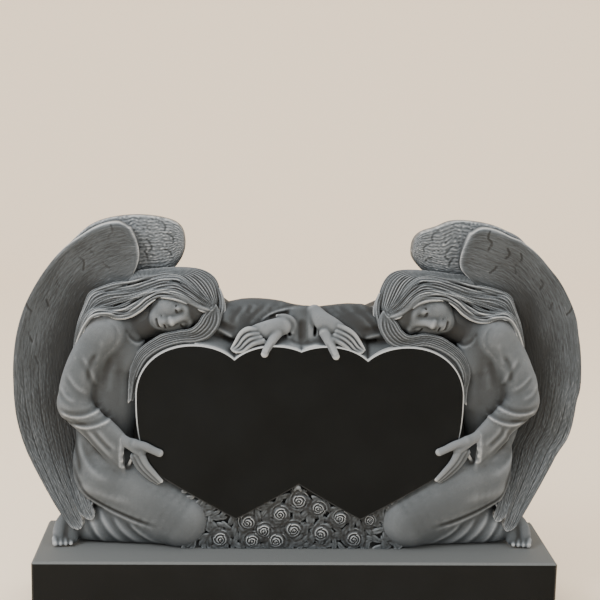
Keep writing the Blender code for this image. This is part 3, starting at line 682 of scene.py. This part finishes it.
def makeNearHand():
    clay = Clay((375, -135, 195), (520, -70, 360), handLook["cell"])
    skin = handLook["skin"]
    clay.stroke([(524, -104, 345, 18), (*wrist, 16), (474, -114, 320, 19), (456, -117, 304, 17)], 6, skin,
                flat=0.75)
    # thumb
    clay.stroke([(472, -116, 326, 13), (444, -121, 320, 13), (420, -121, 309, 11.5),
                 (401, -119, 300, 11.5)], 7, skin + 0.04)
    for finger, (dx, dz, dy) in enumerate(((0, 0, 0), (10, -7, 5), (19, -14, 11))):
        clay.stroke([(456 + dx, -117 + dy, 300 + dz, 12), (440 + dx, -120 + dy, 268 + dz, 9.5),
                     (418 + dx * 0.8, -119 + dy, 240 + dz, 8),
                     (396 + dx * 0.6, -117 + dy, 215 + dz * 0.6, 6)], 2,
                    skin - handLook["fingerShade"] * finger)
    clay.soften(2)
    clay.trim((300, -gridBack, 100), (530, -60, 400))
    return clay


# The arms across the top, with the hands that reach over to the other heart
acrossLook = {"cell": 2.4, "sleeve": 0.36, "skin": 0.62}


def acrossHand(clay, side, palm, fingers, thumb):
    # the fingers lie over the heart's shoulder and the thumb hangs down its face
    skin = acrossLook["skin"]
    clay.stroke(palm, 8, skin, flat=0.7)
    # each lower finger is painted a little darker as shade, and the gaps between fingers and a line along
    # the thumb darker still as shade
    for finger, way in enumerate(fingers):
        depths = np.array((-84, -88, -88, -88, -88)) - 5 * finger
        widths = np.array((9.5, 9.5, 8, 6.6, 4)) - 0.2 * finger
        knots = [(x * side, y, z, width) for (x, z), y, width in zip(way, depths, widths)]
        clay.stroke(knots, 2, skin - 0.03 * finger)
    for above, below in zip(fingers, fingers[1:]):
        way = [((a[0] + b[0]) / 2 * side, (a[1] + b[1]) / 2) for a, b in zip(above, below)]
        clay.emboss(way, 2.4, -2.0, -0.20, ends=0.25)
    clay.stroke(thumb, 7, skin)
    clay.emboss([(x - 9 * side, z) for x, _, z, _ in thumb[1:]], 3, -1.0, -0.15, ends=0.2)


def makeArmsAcross():
    clay = Clay((-305, -135, 560), (305, 60, 770), acrossLook["cell"])
    cloth = acrossLook["sleeve"]
    rim = heartOutline() + (-tabletLook["aside"], 0)

    def shelf(x, z):  # the stone slopes back from the hearts' top edge to the sleeves
        return np.clip(-100 + 1.9 * outlineDistance(rim, x, z), -100, -6)

    outline = [(-302, 560), (302, 560), (302, 690), (200, 715), (-200, 715), (-302, 690)]
    clay.plate(outline, shelf, 50, tone=0.52)
    # upper and lower sleeve of each arm; the left angel's lies on top
    clay.stroke([(300, 20, 690, 44), (220, 12, 686, 45), (150, 5, 694, 50), (80, 0, 696, 46),
                 (20, -8, 694, 36), (-30, -24, 700, 26), (-56, -36, 706, 18)], 12, cloth)
    clay.stroke([(-300, 20, 688, 44), (-220, 12, 684, 43), (-150, 6, 686, 46), (-90, 4, 684, 42),
                 (-30, 10, 680, 36)], 12, cloth - 0.04)
    # the sleeves droop behind the hands, with a rolled edge near each head
    for side, hang, shade in ((1, (646, 648), 0.08), (-1, (650, 650), 0.14)):
        clay.fan([(250 * side, -10, 690, 30), (190 * side, -24, 680, 34), (120 * side, -20, 676, 30)],
                 [(244 * side, -34, 656, 14), (196 * side, -46, hang[0], 15),
                  (130 * side, -40, hang[1], 20)], 3, soft=14, tone=cloth - shade)
        clay.emboss([(244 * side, 664), (214 * side, 650), (186 * side, 634)], 6, 4, 0.15)
        clay.emboss([(250 * side, 684), (216 * side, 672), (180 * side, 656)], 9, -4, -0.12)
        clay.emboss([(236 * side, 646), (206 * side, 630), (192 * side, 620)], 5, -5, -0.3)
    # slanting folds of the left angel's sleeve, then of the right one's
    for way, width, lift in (([(148, 731), (166, 712), (178, 697), (185, 670)], 8, 2.2),
                             ([(126, 733), (141, 706)], 7, 1.5),
                             ([(75, 737), (104, 716), (130, 692), (146, 668)], 8, 2.2),
                             ([(206, 728), (214, 700), (218, 676)], 8, 1.8),
                             ([(40, 736), (62, 728), (84, 716)], 7, 1.3),
                             ([(-66, 728), (-111, 704), (-160, 667), (-196, 632)], 8, 2.2),
                             ([(-96, 730), (-137, 700), (-187, 657)], 8, 2.0),
                             ([(-129, 734), (-186, 697), (-224, 658)], 8, 2.0),
                             ([(-170, 734), (-206, 712), (-236, 684)], 8, 1.6)):
        clay.emboss(way, width, 0.8 * lift, 0.035 * lift)
        clay.emboss(beside(way, math.copysign(13, way[0][0]), -3), width, -0.8 * lift, -0.04 * lift)
    clay.emboss([(-30, 722), (20, 722), (66, 712), (98, 696), (116, 676)], 4, 3, 0.16)
    clay.emboss([(20, 708), (60, 702), (92, 690)], 6, -8, -0.3)
    # the cuff hangs between the hands in soft upright folds, with the slits between them painted dark as
    # shade
    for x, width, tone in ((6, 14, 0.46), (-14, 14, 0.42), (-34, 14, 0.52), (-50, 10, 0.46), (24, 10, 0.46)):
        clay.stroke([(x * 0.7, -34, 712, width), (x, -54, 680, width), (x * 1.1, -62, 640, width + 1),
                     (x * 1.3, -66, 612, width)], 12, tone)
    clay.emboss([(-8, 700), (-8, 660), (-6, 622)], 12, -5, -0.30, ends=0.3)
    clay.emboss([(-46, 712), (-47, 676), (-45, 640)], 4, -14, -0.5, ends=0.2)
    clay.emboss([(28, 678), (29, 660), (27, 642)], 4, -14, -0.5, ends=0.2)
    clay.emboss([(-28, 722), (-28, 680), (-32, 620)], 8, 2, 0.04)
    clay.emboss([(44, 634), (16, 622), (-10, 616), (-40, 620), (-64, 626)], 5, 3, 0.2, ends=0.2)
    # the rolled cuff of the right angel's sleeve
    clay.stroke([(64, -60, 701, 5), (44, -70, 702, 7), (24, -72, 694, 8), (15, -70, 678, 7),
                 (20, -72, 658, 5)], 12, cloth + 0.10)
    # wrist and palm, four fingers from the top one down, and the thumb
    acrossHand(clay, 1,
               [(48, -72, 674, 27), (80, -76, 664, 29), (112, -76, 656, 26), (140, -78, 650, 20)],
               [[(126, 663), (150, 663), (168, 651), (181, 629), (195, 607)],
                [(120, 651), (145, 650), (162, 637), (176, 617), (192, 603)],
                [(114, 641), (138, 638), (155, 625), (170, 609), (188, 601)],
                [(106, 632), (129, 628), (146, 617), (162, 604), (183, 599)]],
               [(66, -84, 652, 16), (80, -100, 632, 13), (94, -114, 610, 11.5), (100, -118, 597, 10.5)])
    acrossHand(clay, -1,
               [(-44, -46, 712, 22), (-66, -68, 690, 27), (-94, -74, 672, 28), (-128, -78, 656, 20)],
               [[(112, 676), (138, 665), (159, 650), (175, 628), (189, 608)],
                [(108, 662), (132, 653), (153, 637), (169, 617), (186, 604)],
                [(104, 650), (127, 642), (146, 627), (162, 610), (182, 601)],
                [(99, 639), (120, 631), (138, 618), (154, 605), (177, 599)]],
               [(-74, -84, 656, 17), (-86, -100, 632, 13.5), (-100, -115, 604, 11.5),
                (-106, -118, 592, 10.5)])
    clay.soften(2)
    clay.trim((-304, -gridBack, 540), (304, 60, 790))
    return clay


# Roses under the hearts
roseLook = {"cell": 1.9, "front": -96, "radius": 27, "swell": 1.15}
roses = [(8, 151, 1.0), (67, 128, 0.86), (-47, 110, 1.0), (132, 97, 0.92), (222, 92, 0.8), (-142, 84, 1.0),
         (-93, 58, 0.95), (-7, 62, 1.1), (76, 50, 1.12), (-222, 32, 1.05), (-131, 27, 0.95), (-56, 28, 1.05),
         (173, 34, 1.1)]


def makeRose(clay, x, z, size, turn):
    # petals stand in rings round a bud that sits low in the flower
    radius = roseLook["radius"] * (size * roseLook["swell"])
    front = roseLook["front"]
    edge = radius + 8
    box, (gx, gy, gz) = clay.window((x - edge, front - 30, z - edge), (x + edge, front + 40, z + edge))
    dome = front + 0.016 * ((gx - x) ** 2 + (gz - z) ** 2) * (roseLook["radius"] / radius)
    shade = np.zeros_like(dome)
    # the petals' lips are painted paler as a highlight, most on the upper side, and the gaps between rings
    # darker as shade
    for ring, (reach, drop) in enumerate(((0.93, 0.02), (0.57, 0.07), (0.33, 0.11), (0.13, 0.13))):
        dx, dz = gx - x - 2 * math.cos(turn + ring), gz - z + drop * radius
        out = np.sqrt(dx * dx + dz * dz) / radius
        angle = np.arctan2(dz, dx)
        petal = (angle + turn * (ring + 1)) * (3 if ring < 2 else 2) / math.tau
        spread = reach * (1.06 - 0.20 * (petal - np.floor(petal)))
        lip = np.exp(-((out - spread) / 0.075) ** 2)
        gap = np.exp(-((out - spread + 0.13) / 0.05) ** 2)
        upper = 0.72 + 0.28 * np.sin(angle + 0.3)
        dome = dome - 4.5 * lip * upper + 5.0 * gap
        shade = shade + 0.12 * lip * upper - 0.30 * gap
    scallop = 1 + 0.04 * np.cos(5 * np.arctan2(gz - z, gx - x) + turn)
    rim = np.sqrt((gx - x) ** 2 + (gz - z) ** 2) - radius * scallop
    dist = np.maximum((dome - gy) * 0.6, np.maximum(rim, gy - (front + 40)))
    clay.merge(box, dist.astype(np.float32), 2, 0.48, False)
    # a ring just outside each rose is painted dark as shade
    clay.tone[box] += np.where(rim < 2, shade, -0.32 * (1 - smoothstep(3, 9, rim))).astype(np.float32)


def makeLeaf(clay, x, z, turn, size, tone):
    along = np.array((math.cos(turn), 0, math.sin(turn)))
    start = np.array((x, roseLook["front"] + 16, z))
    clay.stroke([(*(start - along * 26 * size), 2), (*(start - along * 8 + (0, -5, 0)), 10 * size),
                 (*(start + along * 10 + (0, -6, 0)), 9 * size), (*(start + along * 27 * size), 1.5)],
                1, tone, flat=0.7)
    reach = 24 * size * along
    vein = [(x + share * reach[0], z + share * reach[2]) for share in (-1, 0, 1)]
    clay.emboss(vein, 2.5, -1.6, -0.10, ends=0.2)


def bedTop(x):  # the roses fill the space under the hearts' lower edges
    return np.interp(np.abs(x), [0, 183, 330], [200, 100, 190])


def makeRoseBed():
    clay = Clay((-335, -132, 0), (335, 10, 212), roseLook["cell"])
    outline = [(-335, -5), (335, -5), (335, 200), (183, 112), (7, 212), (-183, 112), (-335, 200)]
    # a plate behind the leaves, painted dark as the shade between them
    clay.plate(outline, -66, 0, tone=0.26)
    rng = np.random.default_rng(11)
    for column in range(-322, 326, 21):
        for row in range(6, 205, 17):
            x, z = column + rng.uniform(-9, 9), row + rng.uniform(-7, 7)
            if z < bedTop(x) - 6:
                turn, size, tone = rng.uniform((0, 0.65, 0.30), (math.tau, 0.95, 0.42))
                makeLeaf(clay, x, max(z, 5), turn, size, tone)
    for index, (x, z, size) in enumerate(roses):
        makeRose(clay, x, z, size, index * 2.4)
    clay.stroke([(-6, -92, 182, 3), (4, -100, 194, 7), (12, -96, 184, 4)], 2, 0.45)
    clay.soften(1)
    clay.trim((-340, -gridBack, 0), (340, 10, 216))
    return clay


# Wings: lofted sheets that follow the feathers
nearWingLook = {"along": 280, "across": 112, "streak": 0.6, "barb": 0.4, "crack": 2.6, "crackWidth": 2.6,
                "seam": 2.6, "thickness": 26, "backDepth": 48, "tone": 0.45, "shadow": 0.30, "paintedRimLight": 0.42}
nearWingCracks = [[(545, 955), (541, 935), (553, 920), (545, 900)],
                  [(638, 880), (642, 862), (626, 846), (628, 820)],
                  [(571, 845), (566, 838), (553, 828)], [(792, 720), (786, 708), (778, 698)],
                  [(787, 634), (784, 620), (778, 606)], [(600, 900), (606, 880), (596, 868)],
                  [(700, 800), (706, 786), (698, 772)], [(735, 730), (730, 712)], [(770, 560), (764, 540)]]
farWingLook = {"along": 206, "across": 100, "barbs": 17, "barb": 0.45, "streak": 0.55, "crack": 1.8,
               "crackWidth": 3.0, "backDepth": 118, "tone": 0.66}
farWingScallops = [[(410, 962), (398, 956), (392, 946), (394, 936)],
                   [(386, 926), (374, 920), (368, 910), (370, 900)], [(392, 880), (380, 874), (374, 864)],
                   [(446, 908), (436, 898), (432, 884), (440, 874)], [(452, 872), (446, 862), (444, 850)]]


def streaks(rows, columns, alongCells, acrossCells, seed):
    # smooth random streaks, long in the first direction
    cells = np.random.default_rng(seed).normal(size=(alongCells, acrossCells))
    down = np.linspace(0, alongCells - 1.001, rows)[:, None]
    over = np.linspace(0, acrossCells - 1.001, columns)[None, :]
    i, u = down.astype(int), smoothstep(0, 1, down % 1)
    j, v = over.astype(int), smoothstep(0, 1, over % 1)
    return mix(mix(cells[i, j], cells[i + 1, j], u), mix(cells[i, j + 1], cells[i + 1, j + 1], u), v)


def lineShare(x, z, lines, width):
    # one on these lines, falling to nought away from them
    total = np.zeros(np.broadcast(x, z).shape)
    for line in lines:
        path = smoothPath(line, 6)
        away = np.min([np.hypot(x - a, z - b) for a, b in path], axis=0)
        total = np.maximum(total, np.exp(-(away / width) ** 2))
    return total


def loft(look, outer, inner):
    # a sheet between two edges; s runs along them and t across, both from nought to one
    along, across = int(look["along"] / coarse), int(look["across"] / coarse)
    s, t = np.linspace(0, 1, along)[:, None], np.linspace(0, 1, across)[None, :]
    return mix(evenPath(outer, along)[:, None, :], evenPath(inner, along)[:, None, :], t[..., None]), s, t


def nearWingSheet():
    sheet, s, t = loft(
        nearWingLook,
        [(490, -20, 946), (528, -22, 963), (578, -20, 953), (626, -16, 926), (687, -12, 880),
         (737, -12, 820), (777, -12, 755), (804, -12, 695), (823, -14, 625), (832, -16, 550),
         (833, -18, 480), (829, -22, 410), (817, -26, 345), (793, -34, 275), (755, -48, 200),
         (714, -68, 130), (688, -84, 92)],
        [(488, -4, 800), (508, 10, 768), (548, 26, 740), (588, 42, 712), (616, 50, 668), (632, 55, 610),
         (640, 56, 540), (642, 55, 470), (640, 50, 400), (636, 40, 330), (630, 14, 260), (622, -26, 200),
         (610, -64, 150), (600, -82, 124)])
    # the tip is two rounded feathers, the outer one longer
    lobe = np.where(t < 0.55, 54 * np.sqrt(np.clip(1 - ((t - 0.275) / 0.275) ** 2, 0, 1)),
                    38 * np.sqrt(np.clip(1 - ((t - 0.775) / 0.225) ** 2, 0, 1)))
    reach = lobe * smoothstep(0.8, 1.0, s)
    sheet[..., 0] -= 0.46 * reach
    sheet[..., 2] -= 0.89 * reach
    # the leading edge is bowed inwards at the top, and the surface is hollow like a dish
    sheet[..., 0] -= 24 * np.sin(math.pi * t) * (1 - smoothstep(0, 0.16, s))
    sheet[..., 1] += 70 * (t ** 0.7 - t) * smoothstep(0.0, 0.2, s) * (1 - smoothstep(0.75, 1.0, s))
    return sheet, s, t


def makeNearWing(side):
    look = nearWingLook
    sheet, s, t = nearWingSheet()
    rows, columns = sheet.shape[:2]
    # long feathers with a shaft and slanting barbs show low down; above there are only fine streaks
    lowPart = smoothstep(0.42, 0.75, s)
    lane = t * 5 * (1 - 0.12 * s) + 0.10 * np.sin(s * 14) + 0.2
    fromShaft = np.abs(lane - np.floor(lane) - 0.5) * 2
    seam = np.exp(-((1 - fromShaft) / 0.10) ** 2) + 0.5 * np.exp(-(fromShaft / 0.10) ** 2)
    wander = streaks(rows, columns, 60, 12, 7 + side)
    barbs = np.sin((s * 46 - fromShaft * 1.2 + 0.22 * wander) * math.tau)
    fine = streaks(rows, columns, 46, 90, 3 + side)
    finer = streaks(rows, columns, 120, 128, 5 + side)
    patch = streaks(rows, columns, 12, 8, 9 + side)
    cracks = lineShare(sheet[..., 0], sheet[..., 2], nearWingCracks, look["crackWidth"])
    cracks *= smoothstep(-1.0, 0.3, patch)
    relief = look["streak"] * (0.7 * fine + 0.6 * finer) * (0.6 + 0.9 * lowPart) + 0.8 * patch
    relief += lowPart * (look["barb"] * barbs * (0.5 + 0.5 * fromShaft) - look["seam"] * seam)
    front = sheet.copy()
    front[..., 1] -= relief - look["crack"] * cracks
    # the rim is rounded over
    roll = np.minimum(t * 60, s * 140)
    front[..., 1] += 10 * (1 - np.clip(roll / 4, 0, 1)) ** 2
    front[..., 1] += 12 * (1 - np.clip((1 - s) * 60 / 4, 0, 1)) ** 2
    back = sheet.copy()
    back[..., 1] = np.maximum(sheet[..., 1] + look["thickness"], look["backDepth"])
    # dark in the dish, pale on the rim
    # painted shade darkens the dish, the cracks and the seams between feathers, and a painted highlight
    # lightens the rim
    shadow = smoothstep(0.15, 0.80, t) * (1 - smoothstep(0.74, 0.93, s)) * smoothstep(0.10, 0.30, s)
    tone = look["tone"] - look["shadow"] * shadow + 0.035 * (fine + patch) + 0.03 * finer - 0.28 * cracks
    tone += lowPart * (0.02 * barbs - 0.10 * seam + 0.05) + 0.02 * smoothstep(0.8, 1.0, s)
    rim = np.exp(-(s * 110) ** 2) + np.exp(-(t * 45) ** 2) * (1 - smoothstep(0.15, 0.3, s))
    rim = rim + 0.5 * np.exp(-((1 - s) * 60) ** 2)
    shell("nearWing", front, back, tone + look["paintedRimLight"] * np.clip(rim, 0, 1), side)


def makeFarWing(side):
    look = farWingLook
    sheet, s, t = loft(
        look,
        [(335, 62, 898), (340, 58, 928), (354, 56, 950), (380, 56, 964), (430, 57, 974), (490, 60, 976),
         (560, 62, 966), (615, 66, 944), (660, 70, 905), (700, 74, 860), (730, 78, 800)],
        [(335, 62, 898), (338, 60, 872), (350, 60, 846), (370, 62, 822), (404, 63, 806), (446, 64, 800),
         (490, 66, 794), (540, 72, 780), (590, 78, 750), (620, 80, 700), (640, 84, 650), (650, 86, 600)])
    rows, columns = sheet.shape[:2]
    sheet[..., 1] -= 16 * np.sin(math.pi * t) ** 0.6 * smoothstep(0, 0.06, s)
    # fine wavy barbs run along the wing
    barbs = np.sin((t * look["barbs"] + 0.22 * streaks(rows, columns, 30, 10, 21 + side)) * math.tau)
    fine = streaks(rows, columns, 90, 60, 23 + side)
    scallops = lineShare(sheet[..., 0], sheet[..., 2], farWingScallops, look["crackWidth"])
    relief = look["barb"] * barbs + look["streak"] * fine - look["crack"] * scallops
    front = sheet.copy()
    front[..., 1] -= relief * smoothstep(0, 0.05, s)
    back = sheet.copy()
    back[..., 1] = look["backDepth"]
    # the scallop lines and the wing's lower edge are painted darker as shade
    tone = look["tone"] + 0.07 * (barbs + fine) - 0.22 * scallops - 0.28 * smoothstep(0.75, 1, t)
    shell("farWing", front, back, tone, side)


def shell(name, front, back, tone, side):
    # a closed sheet: the front grid, and a few columns of the back, joined round as a tube
    rows, columns = front.shape[:2]
    picks = np.linspace(columns - 1, 0, 8).astype(int)
    points = np.concatenate([front, back[:, picks]], axis=1)
    tones = np.concatenate([tone, np.full((rows, len(picks)), 0.45)], axis=1)
    index = np.arange(points.shape[0] * points.shape[1]).reshape(points.shape[:2])
    after = np.roll(index, -1, axis=1)
    faces = np.stack([index[:-1], index[1:], after[1:], after[:-1]], axis=-1).reshape(-1, 4).tolist()
    faces += [index[0].tolist(), index[-1][::-1].tolist()]
    points = points.reshape(-1, 3)
    points[:, 1] = np.clip(points[:, 1], -gridBack, gridBack)
    meshObject(name + ("Left" if side == left else "Right"), toStone(points, side), faces, tones.ravel())


# The plain back: a flat slab and the backs of the wings
def makeBack():
    clay = Clay((-835, 0, 0), (835, 135, 975), 6.0)
    half = [(0, 690), (180, 700), (235, 740), (300, 780), (400, 784), (520, 765), (590, 700), (625, 560),
            (640, 400), (640, 250), (650, 100), (664, 0)]
    clay.plate(half + [(-x, z) for x, z in half[::-1]], 15, gridBack, edge=12, tone=0.3)
    outer = [(388, 86, 936, 22), (460, 90, 945, 24), (550, 94, 926, 26), (640, 96, 868, 28),
             (702, 98, 786, 30), (744, 98, 690, 30), (764, 98, 580, 30), (766, 98, 470, 30),
             (748, 96, 360, 28), (712, 92, 260, 26), (668, 88, 165, 22)]
    inner = [(395, 86, 850, 20), (460, 92, 842, 24), (520, 98, 800, 28), (560, 100, 730, 30),
             (590, 100, 640, 30), (606, 100, 550, 30), (614, 100, 460, 30), (620, 100, 380, 30),
             (624, 98, 300, 28), (628, 94, 220, 24), (636, 90, 150, 20)]
    for side in (1, -1):
        flip = np.array((side, 1, 1, 1))
        clay.fan(np.array(outer) * flip, np.array(inner) * flip, 7, soft=6, tone=0.4)
    clay.trim((-840, 0, 0), (840, gridBack, 980))
    return clay


# The double heart tablet
tabletLook = {"front": -111, "back": 30, "chamfer": 0.004, "aside": 6.5, "paintedRimLight": 0.8,
              "tip": (183, 96), "cleft": (193, 581)}  # each heart's, outwards and up


def cubicCurve(a, b, c, d, steps):
    t = (np.arange(steps) / steps)[:, None]
    a, b, c, d = (np.array(p, float) for p in (a, b, c, d))
    return (1 - t) ** 3 * a + 3 * (1 - t) ** 2 * t * b + 3 * (1 - t) * t * t * c + t ** 3 * d


def heartOutline():
    # one lobe is drawn from its cleft, and leans from the cleft's axis to the tip's
    (tipAxis, tip), (cleftAxis, cleft) = tabletLook["tip"], tabletLook["cleft"]
    crest, flank, taper = (117, 621), (287, 465), (208, 218)
    half = np.vstack([
        cubicCurve((0, cleft), (28, 606), (70, 621), crest, 14),
        cubicCurve(crest, (215, 621), (287, 556), flank, 22),
        cubicCurve(flank, (290, 350), (275, 262), taper, 22),
        cubicCurve(taper, (140, 174), (60, 128), (0, tip), 12),
        [(0, tip)],
    ])
    axis = mix(tipAxis, cleftAxis, (half[:, 1] - tip) / (cleft - tip))
    outer = np.column_stack([axis + half[:, 0], half[:, 1]])
    inner = np.column_stack([axis - half[:, 0], half[:, 1]])
    # the inner sides meet over the middle in a notch, and under it in a peak
    high = half[:, 1] > flank[1]
    top, low = inner[high], inner[~high]
    notch, peak = np.interp(0, *top[::-1].T), np.interp(0, *low.T)
    one = np.vstack([[(0, notch)], top[top[:, 0] > 0][::-1], outer[1:-1], low[low[:, 0] > 0][::-1],
                     [(0, peak)]])
    return np.vstack([one, one[-2:0:-1] * (-1, 1)])


def makeTablet():
    look = tabletLook
    outline = heartOutline()
    shape = bmesh.new()
    corners = [toStone((x - look["aside"], look["front"], z), shift=False) for x, z in outline]
    face = shape.faces.new([shape.verts.new(corner) for corner in corners])
    made = bmesh.ops.extrude_face_region(shape, geom=[face])
    moved = [v for v in made["geom"] if isinstance(v, bmesh.types.BMVert)]
    bmesh.ops.translate(shape, vec=(0, (look["back"] - look["front"]) * unit[1], 0), verts=moved)
    bmesh.ops.recalc_face_normals(shape, faces=shape.faces)
    mesh = bpy.data.meshes.new("heartTablet")
    shape.to_mesh(mesh)
    shape.free()
    piece = bpy.data.objects.new("heartTablet", mesh)
    bpy.context.scene.collection.objects.link(piece)
    bevel = piece.modifiers.new("Rim", "BEVEL")
    bevel.width = look["chamfer"]
    bevel.segments = 2
    bevel.limit_method = "ANGLE"
    bevel.angle_limit = math.radians(60)
    bevel.material = 1
    mesh.materials.append(polishedGranite())
    mesh.materials.append(granite)
    layer = mesh.attributes.new("tone", "FLOAT", "POINT")
    heights = np.array([v.co.z - stoneLow[2] for v in mesh.vertices]) / unit[2]
    tones = 0.05 + look["paintedRimLight"] * smoothstep(230, 420, heights)  # the rim's lower part lies in shade
    layer.data.foreach_set("value", tones.astype(np.float32))
    for polygon in mesh.polygons:
        polygon.material_index = 0 if len(polygon.vertices) > 4 and polygon.normal.y < 0 else 1
    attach(piece, "root")
    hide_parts("angel_stone")
    print("heartTablet", len(outline), "outline points")


# Building; the last number thins the flatter stretches of a mesh
for piece, makeClay, thin in (("figure", makeFigure, 0.02), ("head", makeHead, 0.07),
                              ("hand", makeNearHand, 0.0)):
    clay = makeClay()
    clay.toObject(piece + "Left", left, thin)
    clay.toObject(piece + "Right", right, thin)
makeArmsAcross().toObject("armsAcross", left, 0.02)
makeRoseBed().toObject("roseBed", right, 0.10)
makeBack().toObject("stoneBack", left, 0.05)
for side in (left, right):
    makeNearWing(side)
    makeFarWing(side)
makeTablet()

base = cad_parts["base"]
base.data.materials.clear()
base.data.materials.append(polishedGranite("baseGranite", honedTop=True))
print("stone made")


# Floor, light and camera
studioLook = {"floor": "#fdeeda", "sky": "#efe9e0", "skyStrength": 1.9, "key": 130, "fill": 15}
# the camera's focal length and picture in pixels, its place in metres and its turns in degrees
cameraLook = {"focal": 1285.6, "picture": 600, "place": (-0.164, -3.70, 1.597),
              "yaw": 2.58, "pitch": 10.01, "roll": -1.13}


def makeFloor():
    # a sweep: the floor turns up into a plain wall far behind
    floor = bpy.data.meshes.new("floor")
    turns = [math.radians(degrees) for degrees in range(0, 91, 6)]
    profile = [(-12, 0)] + [(6 + 4 * math.sin(a), 4 - 4 * math.cos(a)) for a in turns] + [(10, 14)]
    points = [(x, y, z) for y, z in profile for x in (-20, 20)]
    faces = [(2 * i, 2 * i + 1, 2 * i + 3, 2 * i + 2) for i in range(len(profile) - 1)]
    floor.from_pydata(points, [], faces)
    floor.shade_smooth()
    piece = bpy.data.objects.new("floor", floor)
    bpy.context.scene.collection.objects.link(piece)
    # Matt studio paper: it takes soft shadows and no highlights.
    material, _, shader = newMaterial("mattPaper")
    shader.inputs["Base Color"].default_value = linear(studioLook["floor"])
    shader.inputs["Roughness"].default_value = 0.9
    floor.materials.append(material)


def addLight(name, place, target, size, power):
    light = bpy.data.lights.new(name, "AREA")
    light.shape = "RECTANGLE"
    light.size, light.size_y = size
    light.energy = power
    lamp = bpy.data.objects.new(name, light)
    lamp.location = place
    lamp.rotation_mode = "QUATERNION"
    lamp.rotation_quaternion = (Vector(target) - Vector(place)).to_track_quat("-Z", "Y")
    bpy.context.scene.collection.objects.link(lamp)


def makeWorld():
    world = bpy.data.worlds.new("studio")
    world.use_nodes = True
    sky = world.node_tree.nodes["Background"].inputs
    sky["Color"].default_value = linear(studioLook["sky"])
    sky["Strength"].default_value = studioLook["skyStrength"]
    bpy.context.scene.world = world


def makeCamera(look):
    yaw, pitch, roll = (math.radians(look[name]) for name in ("yaw", "pitch", "roll"))
    ahead = Vector((math.sin(yaw) * math.cos(pitch), math.cos(yaw) * math.cos(pitch), -math.sin(pitch)))
    level = Vector((math.cos(yaw), -math.sin(yaw), 0))
    down = ahead.cross(level).normalized()
    across = math.cos(roll) * level + math.sin(roll) * down  # rolled about the line of sight
    down = math.cos(roll) * down - math.sin(roll) * level
    camera = bpy.data.cameras.new("camera")
    camera.sensor_width = 36
    camera.lens = look["focal"] * camera.sensor_width / look["picture"]
    holder = bpy.data.objects.new("camera", camera)
    turn = Matrix((across, -down, -ahead)).transposed().to_4x4()
    holder.matrix_world = Matrix.Translation(look["place"]) @ turn
    bpy.context.scene.collection.objects.link(holder)
    bpy.context.scene.camera = holder


makeFloor()
addLight("key", (-2.6, -2.2, 3.2), (0, 0, 0.7), (1.6, 1.6), studioLook["key"])
addLight("fill", (2.6, -3.0, 2.2), (0, 0, 0.7), (2.0, 2.0), studioLook["fill"])
makeWorld()
makeCamera(cameraLook)
print("stage made")
